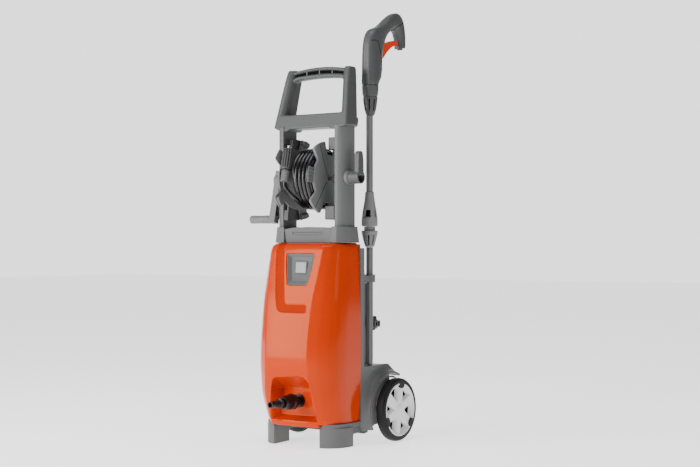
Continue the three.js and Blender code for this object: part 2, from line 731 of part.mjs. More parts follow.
function nozzleClip() {
  const plate = box(60, 82, 95.3, 100, 262, 292);
  const arm = box(68, 80, 98, 114, 268, 286);
  const cup = rod("z", 12, 266, 288, 84, 120, 28);
  const bore = rod("z", 8 + GAP, 260, 295, 84, 120, 28);
  return make([plate, arm, cup], [bore]);
}

function spareNozzle() {
  const pairs = [[0, 262], [5.5, 262], [8, 265], [8, 288.3], [10.5, 288.3], [10.5, 293], [8.5, 296],
    [0, 296]];
  return make([turned("z", pairs, 84, 120, 28)]);
}

function cordGland() {
  const pairs = [[0, 88], [7, 88], [7, 95.3], [11, 95.3], [11, 100], [8, 103], [7, 125], [5, 126], [5, 112],
    [0, 112]];
  return make([turned("y", pairs, -52, 352, 24)]);
}

// ---- motor and pump inside the body ----
function motorHousing() {
  const outer = rod("z", 52, 218, 362, 0, MOTOR_Y, 40);
  const bore = rod("z", 46, 223, 380, 0, MOTOR_Y, 40);
  const hole = rod("z", 7.3, 200, 230, 0, MOTOR_Y, 24);
  return make([outer], [bore, hole]);
}

function motorStator() {
  const ring = turned("z", [[30, 235], [45.7, 235], [45.7, 345], [30, 345], [30, 235]], 0, MOTOR_Y, 40);
  return make([ring]);
}

function motorRotor() {
  const pairs = [[0, 184], [7, 184], [7, 240], [28, 240], [28, 340], [7, 340], [7, 372], [0, 372]];
  return make([turned("z", pairs, 0, MOTOR_Y, 24)]);
}

function coolingFan() {
  const hub = rod("z", 14, 376, 390, 0, MOTOR_Y, 24);
  const disc = rod("z", 42, 376, 379, 0, MOTOR_Y, 36);
  const blades = [];
  for (let i = 0; i < 8; i += 1) {
    const blade = box(-1.2, 1.2, 10, 41, 377, 390);
    blade.rotateZ((i * Math.PI) / 4);
    blade.translate(0, MOTOR_Y, 0);
    blades.push(blade);
  }
  const bore = rod("z", 6, 372, 386, 0, MOTOR_Y, 20);
  return make([hub, disc, ...blades], [bore]);
}

function wobblePlate() {
  const disc = rod("z", 26, 168, 183.7, 0, MOTOR_Y, 36);
  return make([disc]);
}

function gearHousing() {
  const outer = rod("z", 46, 150, 217.7, 0, MOTOR_Y, 40);
  const inner = rod("z", 40, 153, 230, 0, MOTOR_Y, 40);
  const holes = [];
  for (let i = 0; i < 3; i += 1) {
    const a = (i * 2 * Math.PI) / 3 + Math.PI / 2;
    holes.push(rod("z", 6.4, 140, 160, 18 * Math.cos(a), MOTOR_Y + 18 * Math.sin(a), 20));
  }
  return make([outer], [inner, ...holes]);
}

function piston(i) {
  const a = (i * 2 * Math.PI) / 3 + Math.PI / 2;
  return make([rod("z", 6, 128, 167.7, 18 * Math.cos(a), MOTOR_Y + 18 * Math.sin(a), 20)]);
}

function pumpHead() {
  const block = box(-40, 40, MOTOR_Y - 32, MOTOR_Y + 34, 84, 149.7);
  const cuts = [];
  for (let i = 0; i < 3; i += 1) {
    const a = (i * 2 * Math.PI) / 3 + Math.PI / 2;
    cuts.push(rod("z", 6.4, 118, 155, 18 * Math.cos(a), MOTOR_Y + 18 * Math.sin(a), 20));
  }
  const legs = [-31, 31].map((x) => box(x - 7, x + 7, MOTOR_Y - 28, MOTOR_Y + 30, 54.8, 86));
  return make([block, ...legs], cuts);
}

function outletPipe() {
  const path = new THREE.CatmullRomCurve3([
    new THREE.Vector3(41.5, MOTOR_Y, 120),
    new THREE.Vector3(62, MOTOR_Y, 122),
    new THREE.Vector3(74, MOTOR_Y + 6, 150),
    new THREE.Vector3(76, MOTOR_Y + 14, 260),
    new THREE.Vector3(76, MOTOR_Y + 20, 400),
    new THREE.Vector3(76, MOTOR_Y + 20, 462),
  ]);
  const circle = [];
  for (let i = 0; i < 12; i += 1) {
    const a = (i / 12) * Math.PI * 2;
    circle.push([5 * Math.cos(a), 5 * Math.sin(a)]);
  }
  const g = new THREE.ExtrudeGeometry(shapeOf(circle), { steps: 24, extrudePath: path, bevelEnabled: false });
  return make([g]);
}

function build() {
  add("rear_chassis", rearChassis(), grey);
  add("front_cover", frontCover(), orange);
  add("rear_cover", rearCover(), darkGrey);
  add("collar", collar(), grey);
  add("left_post", post(-1), grey);
  add("right_post", post(1), grey);
  add("handle_frame", handleFrame(), grey);
  add("grip_insert", gripInsert(), black);
  add("switch_panel", switchPanel(), grey);
  add("power_switch", powerSwitch(), paleGrey);
  add("left_reel_bracket", reelBracket(-1), grey);
  add("right_reel_bracket", reelBracket(1), grey);
  add("reel_drum", reelDrum(), grey);
  add("reel_shaft", reelShaft(), steel);
  add("hose_winding", hoseWinding(), black);
  add("hose_tail", hoseTail(), black);
  add("hose_nipple", hoseNipple(), steel);
  add("hose_nut", hoseNut(), darkGrey);
  add("crank_arm", crankArm(), paleGrey);
  add("crank_knob", crankKnob(), paleGrey);
  add("cable_hook", cableHook(), grey);
  add("axle", make([rod("x", AXLE_R, -151, 151, AXLE_Y, WHEEL_R, 24)]), steel);
  add("left_tyre", tyre(-1), tyreBlack);
  add("right_tyre", tyre(1), tyreBlack);
  add("left_rim", rim(-1), rimGrey);
  add("right_rim", rim(1), rimGrey);
  add("left_hub_cap", hubCap(-1), rimGrey);
  add("right_hub_cap", hubCap(1), rimGrey);
  add("inlet_stub", inletStub(), brass);
  add("inlet_sleeve", inletSleeve(), black);
  add("inlet_tail", inletTail(), black);
  add("lance_lower_tube", lanceLower(), darkGrey);
  add("lance_lower_bell", lanceBell(true), grey);
  add("lance_ring", lanceRing(), paleGrey);
  add("lance_upper_bell", lanceBell(false), grey);
  add("lance_upper_tube", lanceUpper(), darkGrey);
  add("gun_nose", gunNose(), grey);
  add("gun_left_half", gunHalf(-1), grey);
  add("gun_right_half", gunHalf(1), grey);
  add("gun_trigger", trigger(), orange);
  add("gun_inlet", gunInlet(), brass);
  add("lance_holder", lanceHolder(), grey);
  add("nozzle_clip", nozzleClip(), grey);
  add("spare_nozzle", spareNozzle(), black);
  add("cord_gland", cordGland(), black);
  add("motor_housing", motorHousing(), aluminium);
  add("motor_stator", motorStator(), copper);
  add("motor_rotor", motorRotor(), steel);
  add("cooling_fan", coolingFan(), black);
  add("wobble_plate", wobblePlate(), steel);
  add("gear_housing", gearHousing(), aluminium);
  add("piston_a", piston(0), steel);
  add("piston_b", piston(1), steel);
  add("piston_c", piston(2), steel);
  add("pump_head", pumpHead(), aluminium);
  add("outlet_pipe", outletPipe(), steel);
}

build();
const bounds = new THREE.Box3().setFromObject(group);
group.position.set(
  -(bounds.min.x + bounds.max.x) / 2,
  -(bounds.min.y + bounds.max.y) / 2,
  -bounds.min.z,
);

export default group;
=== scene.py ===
# Looks of an electric pressure washer: orange cover, grey frame, wound hose, gun and two wheels.
import math

import bmesh
import bpy
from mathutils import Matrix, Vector


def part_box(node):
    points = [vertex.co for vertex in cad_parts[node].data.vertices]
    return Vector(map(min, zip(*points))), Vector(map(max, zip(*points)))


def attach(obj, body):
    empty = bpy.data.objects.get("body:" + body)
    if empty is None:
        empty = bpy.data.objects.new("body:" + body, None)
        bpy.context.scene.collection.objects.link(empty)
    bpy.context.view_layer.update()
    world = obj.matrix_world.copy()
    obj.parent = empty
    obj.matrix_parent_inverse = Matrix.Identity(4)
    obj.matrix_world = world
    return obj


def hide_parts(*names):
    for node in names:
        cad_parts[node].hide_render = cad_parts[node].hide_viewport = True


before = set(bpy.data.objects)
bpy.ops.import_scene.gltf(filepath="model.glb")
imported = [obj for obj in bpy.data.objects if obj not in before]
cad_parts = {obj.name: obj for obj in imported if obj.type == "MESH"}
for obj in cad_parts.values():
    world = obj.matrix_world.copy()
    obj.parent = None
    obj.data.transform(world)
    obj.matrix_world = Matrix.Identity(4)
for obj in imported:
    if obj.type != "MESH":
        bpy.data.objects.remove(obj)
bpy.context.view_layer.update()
COLLECTION = bpy.context.scene.collection

# ---- where things are ----
# Lengths below are in millimetres from the plane between the wheels, the plane of the posts and the floor.
REEL = (8.0, 622.0)  # axis of the reel, as Y and Z
WHEEL = (133.0, 75.0)  # axis of the wheels, as Y and Z
LANCE = (99.0, 85.0)  # axis of the lance, as X and Y
NUT = (-41.5, -63.5, 613.0)  # end of the hose in its coupling
NUT_TILT = 12.4  # degrees the coupling leans back
LEFT_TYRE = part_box("left_tyre")
RIGHT_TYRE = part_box("right_tyre")
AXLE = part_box("axle")
MID_X = (LEFT_TYRE[0].x + RIGHT_TYRE[1].x) / 2
MID_Y = (AXLE[0].y + AXLE[1].y) / 2 - WHEEL[0] / 1000


def P(x, y, z):
    """A point given in millimetres, in the frame's metres."""
    return Vector((MID_X + x / 1000, MID_Y + y / 1000, z / 1000))


def on_axis(axis, p, q, t):
    """A point at t along an axis and at p, q across it."""
    return {"x": (t, p, q), "y": (p, t, q), "z": (p, q, t)}[axis]


def eased(value, start, end):
    """From 0 to 1 between start and end, level at both."""
    t = min(max((value - start) / (end - start), 0), 1)
    return t * t * (3 - 2 * t)


# ---- camera ----
CAMERA_LENS = 72.23
CAMERA_SENSOR = 36
CAMERA_PLACE = (1.9513, -2.7218, 0.4649)
CAMERA_TILT = 90.489
CAMERA_TURN = 34.342


def make_camera():
    data = bpy.data.cameras.new("camera")
    data.lens = CAMERA_LENS
    data.sensor_width = CAMERA_SENSOR
    camera = bpy.data.objects.new("camera", data)
    camera.location = CAMERA_PLACE
    camera.rotation_euler = (math.radians(CAMERA_TILT), 0, math.radians(CAMERA_TURN))
    COLLECTION.objects.link(camera)
    bpy.context.scene.camera = camera


make_camera()


# ---- mesh helpers ----
WELD = 2e-6


def finish_mesh(obj, body, slot, material, nodes=(), sharp=35, second=None):
    """Sets the material, shading, body and replaced nodes; marked faces take the second material; slot is not
    used.
    """
    marks = [poly.material_index for poly in obj.data.polygons] if second else []
    obj.data.materials.clear()
    obj.data.materials.append(material)
    if obj.type == "MESH":
        for poly in obj.data.polygons:
            poly.use_smooth = True
        obj.data.set_sharp_from_angle(angle=math.radians(sharp))
    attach(obj, body)
    if nodes:
        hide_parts(*nodes)
    if second:
        obj.data.materials.append(second)
        for poly, mark in zip(obj.data.polygons, marks):
            poly.material_index = mark
    return obj


def new_mesh(name, verts, faces, marked=()):
    """A new welded mesh; faces with every corner in the marked set get material index 1."""
    mesh = bpy.data.meshes.new(name)
    mesh.from_pydata([P(*v) for v in verts], [], faces)
    if marked:
        for poly in mesh.polygons:
            if all(v in marked for v in poly.vertices):
                poly.material_index = 1
    bm = bmesh.new()
    bm.from_mesh(mesh)
    bmesh.ops.remove_doubles(bm, verts=bm.verts, dist=WELD)
    bmesh.ops.recalc_face_normals(bm, faces=bm.faces)
    bm.to_mesh(mesh)
    bm.free()
    obj = bpy.data.objects.new(name, mesh)
    COLLECTION.objects.link(obj)
    return obj


def rounded(points, radius, steps=3, closed=False):
    """Each inner corner of a flat path becomes a short curve."""
    out = []
    n = len(points)
    for i in range(n):
        p = Vector(points[i])
        if not closed and i in (0, n - 1):
            out.append(tuple(p))
            continue
        a = Vector(points[(i - 1) % n])
        b = Vector(points[(i + 1) % n])
        r = radius[i] if isinstance(radius, (list, tuple)) else radius
        ra = min(r, (a - p).length * 0.45)
        rb = min(r, (b - p).length * 0.45)
        if ra < 1e-6 or rb < 1e-6:
            out.append(tuple(p))
            continue
        s = p + (a - p).normalized() * ra
        e = p + (b - p).normalized() * rb
        for k in range(steps + 1):
            t = k / steps
            q = s * (1 - t) ** 2 + p * 2 * t * (1 - t) + e * t * t
            out.append(tuple(q))
    return out


def lathe_data(axis, pairs, centre, steps):
    """Verts and faces of a turned form. pairs are radius and place along the axis."""
    verts, faces = [], []
    n = len(pairs)
    for j in range(steps):
        a = 2 * math.pi * j / steps
        c, s = math.cos(a), math.sin(a)
        verts += [on_axis(axis, centre[0] + r * c, centre[1] + r * s, t) for r, t in pairs]
    for j in range(steps):
        k = (j + 1) % steps
        for i in range(n - 1):
            faces.append((j * n + i, k * n + i, k * n + i + 1, j * n + i + 1))
    return verts, faces


def grid_faces(count, n, closed=False):
    """Quads between count rows of n points; closed rows join their ends."""
    return [(i * n + j, i * n + (j + 1) % n, (i + 1) * n + (j + 1) % n, (i + 1) * n + j)
            for i in range(count - 1) for j in range(n if closed else n - 1)]


def rings_data(rings):
    """Verts and faces of a tube through rings of equal count, with both ends filled."""
    n = len(rings[0])
    verts = [v for ring in rings for v in ring]
    ends = [tuple(reversed(range(n))), tuple(range(len(verts) - n, len(verts)))]
    return verts, grid_faces(len(rings), n, True) + ends


def add_bevel(obj, width, angle):
    """Rounds the rims and keeps the broad faces flat in their shading."""
    mod = obj.modifiers.new("rims", "BEVEL")
    mod.width = width / 1000
    mod.segments = 2
    mod.limit_method = "ANGLE"
    mod.angle_limit = math.radians(angle)
    mod.use_clamp_overlap = True
    mod = obj.modifiers.new("flat_faces", "WEIGHTED_NORMAL")
    mod.keep_sharp = True
    mod.weight = 80


def refined(name, node, slot, material, body="chassis", bevel=0.0):
    """A welded copy of a CAD node with rounded rims and smooth curved faces."""
    sharp = 32
    flat = math.radians(1.0)
    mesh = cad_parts[node].data.copy()
    mesh.name = name
    bm = bmesh.new()
    bm.from_mesh(mesh)
    bmesh.ops.remove_doubles(bm, verts=bm.verts, dist=1e-5)
    bmesh.ops.dissolve_limit(bm, angle_limit=flat, verts=bm.verts, edges=bm.edges)
    bm.to_mesh(mesh)
    bm.free()
    for attribute in list(mesh.attributes):
        if attribute.name in ("custom_normal", "sharp_face"):
            mesh.attributes.remove(attribute)
    obj = bpy.data.objects.new(name, mesh)
    COLLECTION.objects.link(obj)
    if bevel:
        add_bevel(obj, bevel, sharp)
    return finish_mesh(obj, body, slot, material, (node,), sharp)


# ---- the hose ----
HOSE_D = 9.6
HOSE_LAYERS = [48.6, 58.3, 68.0]  # radius of each layer on the drum
LAYER_TURNS = 5
TURNS = LAYER_TURNS * len(HOSE_LAYERS)
TURN_X = 21.2  # the first turn's distance from the middle
PITCH = 10.6
FIRST_ANGLE = 240
STEP_OVER = (0.58, 0.75)  # the part of a turn in which the hose moves over to the next one
LAST_STEP_OVER = (0.122, 0.25)
RISE = [(-21.2, -48.5, 576.1), (-41.5, -67.8, 593.5)]  # guide points of the free end
INTO_NUT = 3


def hose_points():
    """Fifteen turns in three layers, then a free end that rises into the coupling."""
    steps = 32
    points = []
    for i in range(TURNS * steps + 1):
        passed = min(i // steps, TURNS - 1)
        part = i / steps - passed
        layer, turn = divmod(passed, LAYER_TURNS)
        way = -1 if layer % 2 == 0 else 1
        x = way * (PITCH * turn - TURN_X)
        r = HOSE_LAYERS[layer]
        if passed == TURNS - 2:
            step = 0
        elif passed == TURNS - 1:
            x -= way * PITCH
            step = eased(part, *LAST_STEP_OVER)
        else:
            step = eased(part, *STEP_OVER)
        if turn < LAYER_TURNS - 1 or layer == len(HOSE_LAYERS) - 1:
            x += way * PITCH * step
        else:
            r += (HOSE_LAYERS[layer + 1] - r) * step
        angle = math.radians(FIRST_ANGLE - 360 * part)
        points.append((x, REEL[0] + r * math.cos(angle), REEL[1] + r * math.sin(angle)))
    end = Vector(NUT)
    rise = [Vector(points[-1])] + [Vector(guide) for guide in RISE] + [end]
    count = 14
    for i in range(1, count + 1):
        t = i / count
        u = 1 - t
        q = rise[0] * u**3 + rise[1] * 3 * u * u * t + rise[2] * 3 * u * t * t + rise[3] * t**3
        points.append(tuple(q))
    lean = math.radians(NUT_TILT)
    points.append((end.x, end.y + INTO_NUT * math.sin(lean), end.z + INTO_NUT * math.cos(lean)))
    return points


def poly_curve(name, points, radius, resolution):
    """A round cord through points in metres; the radius is in millimetres."""
    data = bpy.data.curves.new(name, "CURVE")
    data.dimensions = "3D"
    data.bevel_depth = radius / 1000
    data.bevel_resolution = resolution
    spline = data.splines.new("POLY")
    spline.points.add(len(points) - 1)
    for target, point in zip(spline.points, points):
        target.co = (*point, 1)
    obj = bpy.data.objects.new(name, data)
    COLLECTION.objects.link(obj)
    return obj


def make_hose():
    """The hose as a curve, with its length and the point where it leaves the drum's core."""
    points = [P(*point) for point in hose_points()]
    obj = poly_curve("high_pressure_hose", points, HOSE_D / 2, 4)
    obj.data.use_fill_caps = True
    obj.data.splines[0].use_smooth = True
    length = sum((b - a).length for a, b in zip(points, points[1:]))
    return obj, length, points[0]


hose, HOSE_LENGTH, HOSE_EXIT = make_hose()


# ---- materials ----
def node_material(name, colour, rough, metallic=0.0, spread=0.05, grain=0.0, grain_size=900, wave=0.0,
                  wave_size=40, rough_spread=0.06, rim=0.0, specular=0.5, tint=(1, 1, 1)):
    """A finish with slow colour change, fine grain, uneven gloss and softened rims."""
    mat = bpy.data.materials.new(name)
    mat.use_nodes = True
    nodes, links = mat.node_tree.nodes, mat.node_tree.links
    place = nodes.new("ShaderNodeTexCoord")

    def noise(scale, detail):
        node = nodes.new("ShaderNodeTexNoise")
        node.inputs["Scale"].default_value = scale
        node.inputs["Detail"].default_value = detail
        links.new(place.outputs["Object"], node.inputs["Vector"])
        return node.outputs["Fac"]

    def bump(height, strength, distance):
        node = nodes.new("ShaderNodeBump")
        node.inputs["Strength"].default_value = strength
        node.inputs["Distance"].default_value = distance
        links.new(height, node.inputs["Height"])
        return node

    shader = nodes["Principled BSDF"]
    shader.inputs["Metallic"].default_value = metallic
    shader.inputs["Specular IOR Level"].default_value = specular
    shader.inputs["Specular Tint"].default_value = (*tint, 1)
    slow = noise(14, 3)
    ramp = nodes.new("ShaderNodeValToRGB")
    low, high = ramp.color_ramp.elements
    low.position = 0.3
    high.position = 0.7
    low.color = [c * (1 - spread) for c in colour] + [1]
    high.color = [min(c * (1 + spread), 1) for c in colour] + [1]
    links.new(slow, ramp.inputs["Fac"])
    links.new(ramp.outputs["Color"], shader.inputs["Base Color"])
    gloss = nodes.new("ShaderNodeMapRange")
    gloss.inputs["To Min"].default_value = max(rough - rough_spread, 0.02)
    gloss.inputs["To Max"].default_value = rough + rough_spread
    links.new(slow, gloss.inputs["Value"])
    links.new(gloss.outputs["Result"], shader.inputs["Roughness"])
    last = bump(noise(grain_size, 2), grain, 0.0002)
    if rim:
        soft = nodes.new("ShaderNodeBevel")
        soft.samples = 4
        soft.inputs["Radius"].default_value = rim / 1000
        links.new(soft.outputs["Normal"], last.inputs["Normal"])
    if wave:
        ripple = bump(noise(wave_size, 1), wave, 0.001)
        links.new(last.outputs["Normal"], ripple.inputs["Normal"])
        last = ripple
    links.new(last.outputs["Normal"], shader.inputs["Normal"])
    return mat


ORANGE = node_material("orange_plastic", (0.5, 0.028, 0.0001), 0.13, spread=0.03, wave=0.04, wave_size=16,
                       rough_spread=0.03, specular=0.26, tint=(1, 0.58, 0.26))
ORANGE_GROOVE = node_material("orange_groove", (0.36, 0.02, 0.0001), 0.6, spread=0.03, grain=0.2,
                              specular=0.02)
ORANGE_SMALL = node_material("orange_plastic_small", (0.6, 0.028, 0.0001), 0.25, specular=0.3,
                             spread=0.02, rim=1.0)
GREY = node_material("grey_plastic", (0.1, 0.101, 0.102), 0.45, grain=0.35, rim=1.6, specular=0.3)
# A darker copy of the grey plastic, as painted shade: it holds down the handle, the grip bars, the cable hook
# and the gun, which the lamps light more than the low parts.
SHADED_GREY = node_material("shaded_grey_plastic", (0.062, 0.063, 0.064), 0.36, grain=0.35, rim=1.6,
                         specular=0.25)
# A lighter copy of the grey plastic, as painted light: it lifts the front flange of the drum, its hub and its
# ribs out of the shade they lie in.
FLANGE_LIGHTENED_GREY = node_material("flange_lightened_grey", (0.16, 0.162, 0.165), 0.5, grain=0.3, rim=0.8, specular=0.2)
MID_GREY = node_material("mid_grey_plastic", (0.14, 0.141, 0.143), 0.45, grain=0.3, rim=1.0,
                         specular=0.3)
PALE = node_material("pale_grey_plastic", (0.17, 0.171, 0.173), 0.45, grain=0.3, rim=1.0, specular=0.3)
SWITCH = node_material("switch_plastic", (0.3, 0.303, 0.306), 0.5, grain=0.9, grain_size=700, rim=0.6)
DARK = node_material("dark_grey_plastic", (0.026, 0.0265, 0.027), 0.42, spread=0.08, grain=0.35, rim=1.0)
BLACK = node_material("black_plastic", (0.005, 0.005, 0.0055), 0.3, spread=0.15, grain=0.2, rim=0.4,
                      specular=0.3)
# Soft black for the real seams and the strip in the grip, and also as painted shade: on the floor of the hook's
# bore, in the clip openings, and on the sunk floors of the wheel windows and of the lance and nose slots.
SOFT_BLACK_AND_SHADE = node_material("soft_black", (0.003, 0.003, 0.003), 0.7, spread=0.15, grain=0.15,
                           grain_size=1600, specular=0.03)
HOSE = node_material("hose_rubber", (0.007, 0.007, 0.008), 0.22, spread=0.2, grain=0.15, wave=0.1,
                     wave_size=70)
TYRE = node_material("tyre", (0.003, 0.003, 0.0033), 0.55, spread=0.2, grain=0.6, grain_size=1300,
                     rough_spread=0.08, specular=0.25)
RIM = node_material("rim_plastic", (0.75, 0.755, 0.76), 0.36, spread=0.03, grain=0.12)
STEEL = node_material("steel", (0.62, 0.63, 0.64), 0.24, metallic=1, spread=0.06, grain=0.15)
CAST = node_material("cast_aluminium", (0.5, 0.51, 0.52), 0.45, metallic=0.9, spread=0.1, grain=0.9,
                     grain_size=500)
COPPER = node_material("winding_copper", (0.5, 0.2, 0.07), 0.35, metallic=1, spread=0.15, grain=0.5)


# ---- floor, lights and world ----
def area_light(name, place, aim, size, power, height):
    data = bpy.data.lights.new(name, "AREA")
    data.shape = "RECTANGLE"
    data.size = size
    data.size_y = height
    data.energy = power
    obj = bpy.data.objects.new(name, data)
    obj.location = place
    way = Vector((0, 0, aim)) - Vector(place)
    obj.rotation_euler = way.to_track_quat("-Z", "Y").to_euler()
    COLLECTION.objects.link(obj)


def make_stage():
    size = 14
    glow = 1.4
    corners = [(-size, -size, 0), (size, -size, 0), (size, size, 0), (-size, size, 0)]
    mesh = bpy.data.meshes.new("floor")
    mesh.from_pydata(corners, [], [(0, 1, 2, 3)])
    floor = bpy.data.objects.new("floor", mesh)
    COLLECTION.objects.link(floor)
    pale = node_material("studio_floor", (0.9, 0.9, 0.9), 0.6, spread=0.01, specular=0.1)
    shader = pale.node_tree.nodes["Principled BSDF"]
    shader.inputs["Emission Color"].default_value = (1, 1, 1, 1)
    shader.inputs["Emission Strength"].default_value = glow
    mesh.materials.append(pale)
    make_world()
    area_light("front_left_softbox", (-1.42, -2.16, 1.1), 0.45, 0.85, 54, 2.0)
    area_light("front_softbox", (-0.5, -3.3, 1.2), 0.5, 0.7, 62, 1.4)
    area_light("side_softbox", (2.9, 0.4, 1.1), 0.4, 0.5, 3, 0.9)
    area_light("top_softbox", (0.2, -0.4, 2.8), 0.3, 2.2, 40, 1.6)


WALL_WAY = (-0.56, 0.83, 0)  # towards the bright wall
WALL_EDGE = (0.68, 0.94)  # where it begins and where it is at its brightest, along that way
WALL_STRENGTH = 2.0
ROOM_STRENGTH = 0.2


def make_world():
    """A studio with a bright wall behind the object and a dim room in front of it."""
    world = bpy.data.worlds.new("studio")
    bpy.context.scene.world = world
    world.use_nodes = True
    nodes, links = world.node_tree.nodes, world.node_tree.links
    place = nodes.new("ShaderNodeTexCoord")
    along = nodes.new("ShaderNodeVectorMath")
    along.operation = "DOT_PRODUCT"
    along.inputs[1].default_value = WALL_WAY
    links.new(place.outputs["Generated"], along.inputs[0])
    level = nodes.new("ShaderNodeMapRange")
    level.interpolation_type = "SMOOTHSTEP"
    level.inputs["From Min"].default_value = WALL_EDGE[0]
    level.inputs["From Max"].default_value = WALL_EDGE[1]
    level.inputs["To Min"].default_value = ROOM_STRENGTH
    level.inputs["To Max"].default_value = WALL_STRENGTH
    links.new(along.outputs["Value"], level.inputs["Value"])
    wall = nodes["Background"]
    wall.inputs["Color"].default_value = (1, 1, 1, 1)
    links.new(level.outputs["Result"], wall.inputs["Strength"])


make_stage()


# ---- cover ----
# Height, half width of the front face, how far forward it stands, half width of the body.
COVER = [
    (55, 66.5, -80, 105),
    (66, 68, -85, 106),
    (119, 67, -104, 109),
    (155, 62, -111, 110),
    (191, 59, -114.5, 111),
    (239, 59.4, -112.6, 111),
    (273, 60, -109.4, 110.5),
    (341, 64.2, -100, 109),
    (379, 68, -90.5, 107.5),
    (430, 72, -77, 105.5),
    (456, 73, -69.5, 104.5),
    (466.5, 71, -62, 102),
    (470.9, 65, -50, 97),
]
COVER_BACK = 30


def spline_row(rows, t):
    """Catmull-Rom blend of table rows at t, counted in rows."""
    i = min(int(t), len(rows) - 2)
    u = t - i
    a = rows[max(i - 1, 0)]
    b = rows[i]
    c = rows[i + 1]
    d = rows[min(i + 2, len(rows) - 1)]
    out = []
    for k in range(len(b)):
        h = c[0] - b[0]
        m0 = (c[k] - a[k]) / max(c[0] - a[0], 1e-6) * h
        m1 = (d[k] - b[k]) / max(d[0] - b[0], 1e-6) * h
        if i == 0:
            m0 = c[k] - b[k]
        if i == len(rows) - 2:
            m1 = (c[k] - b[k]) * (1.0 if k == 0 else 1.5)
        h00 = 2 * u**3 - 3 * u**2 + 1
        h10 = u**3 - 2 * u**2 + u
        h01 = -2 * u**3 + 3 * u**2
        h11 = u**3 - u**2
        out.append(h00 * b[k] + h10 * m0 + h01 * c[k] + h11 * m1)
    return out


def inside_distance(poly, x, z):
    """Distance to an outline, above zero inside it."""
    best = 1e9
    inside = False
    for (ax, az), (bx, bz) in zip(poly, poly[1:] + poly[:1]):
        dx, dz = bx - ax, bz - az
        t = ((x - ax) * dx + (z - az) * dz) / (dx * dx + dz * dz)
        t = min(max(t, 0), 1)
        d = math.hypot(x - ax - t * dx, z - az - t * dz)
        best = min(best, d)
        if (az > z) != (bz > z) and x < ax + (z - az) / (bz - az) * dx:
            inside = not inside
    return best if inside else -best


GROOVE = rounded([(-62, 478), (-59.6, 468), (-55.7, 431), (-47.2, 385), (-38.5, 339), (-31, 311), (49, 311),
                  (49, 329), (-11.3, 329), (-15.4, 343), (-23.9, 385), (-33.2, 431), (-39, 468), (-41, 478)],
                 [0, 8, 20, 20, 20, 16, 5, 5, 8, 20, 20, 20, 8, 0], 4, True)
WINDOW = rounded([(-27, 446), (-23, 420), (-16, 392), (-11, 374), (44, 374), (50, 410), (51.5, 446)],
                 [3, 20, 20, 5, 8, 20, 3], 3, True)
RECESS_FRONT = rounded([(-67.7, 60), (-54, 106), (-38, 163), (52, 168), (64, 148), (68.5, 60)],
                       [0.5, 20, 14, 22, 14, 0.5], 5, True)
RECESS_BACK = rounded([(-50, 70), (-48, 100), (-46, 135), (44, 135), (45, 118), (46, 70)],
                      [1, 20, 5, 5, 8, 1], 5, True)
RECESS_DEEP = -61
RECESS_TOP = 175  # the recess is below this height, the groove and the window above the next one
FACE_LOW = 300
GROOVE_DEPTH = 2.6
WINDOW_DEPTH = 30.0


def recess_depth(x, z, y):
    """How far back the inlet recess reaches at x and z."""
    if inside_distance(RECESS_FRONT, x, z) <= 0:
        return y
    best = 1.0
    outer, deep = RECESS_FRONT, RECESS_BACK
    sides = zip(outer, outer[1:] + outer[:1], deep, deep[1:] + deep[:1])
    for (ax, az), (bx, bz), (cx, cz), (ex, ez) in sides:
        length = math.hypot(bx - ax, bz - az)
        inner = math.hypot(ex - cx, ez - cz)
        if min(length, inner) < 1e-3:
            continue
        front = (x - ax) * ((bz - az) / length) + (z - az) * (-(bx - ax) / length)
        sign = 1 if front > 0 else -1
        back = ((x - cx) * (ez - cz) - (z - cz) * (ex - cx)) / inner * sign
        if back < 0:
            best = min(best, abs(front) / max(abs(front) - back, 1e-6))
    return y + (RECESS_DEEP - y) * best


def cover_section(row, columns, passes):
    """Half outline of the cover at one height, from the middle of the front to the flat back."""
    _, front, y, side = row
    w = side - front
    h = 52
    bow = 1.4
    points = []
    for i in range(columns + 1):
        x = front * i / columns
        points.append((x, y - bow * (1 - (x / front) ** 2)))
    bend = [(front, y), (front + 0.42 * w, y + 0.24 * h), (front + 0.74 * w, y + 0.58 * h),
            (front + 0.93 * w, y + 0.95 * h), (side, y + 1.5 * h), (side, COVER_BACK)]
    for k in range(1, len(bend)):
        p0 = Vector(bend[k - 1])
        p1 = Vector(bend[k])
        share = 6 if k < 5 else 14
        for i in range(1, share + 1):
            q = p0.lerp(p1, i / share)
            points.append((q.x, q.y))
    # Smooth the run round the side, but keep the crease beside the front face.
    for _ in range(passes):
        moved = list(points)
        for i in range(columns + 1, len(points) - 1):
            a, b, c = points[i - 1], points[i], points[i + 1]
            moved[i] = (b[0] * 0.5 + (a[0] + c[0]) * 0.25, b[1] * 0.5 + (a[1] + c[1]) * 0.25)
        points = moved
    return points


def cover_levels():
    """Places along the rows of COVER, close enough together for the groove and the recess."""
    levels = []
    count = len(COVER) - 1
    for i in range(count):
        span = abs(COVER[i + 1][0] - COVER[i][0]) + abs(COVER[i + 1][2] - COVER[i][2])
        steps = max(int(span / 1.7), 3)
        levels += [i + k / steps for k in range(steps)]
    levels.append(float(count))
    return levels


def set_back(x, y, z):
    """How far the groove, the window or the recess sets the front face back at a point."""
    if z > FACE_LOW:
        groove = GROOVE_DEPTH * eased(inside_distance(GROOVE, x, z) / 2.4 + 0.5, 0, 1)
        window = WINDOW_DEPTH * eased(inside_distance(WINDOW, x, z) / 3.0 + 0.3, 0, 1)
        return max(groove, window)
    if z < RECESS_TOP:
        return recess_depth(x, z, y) - y
    return 0.0


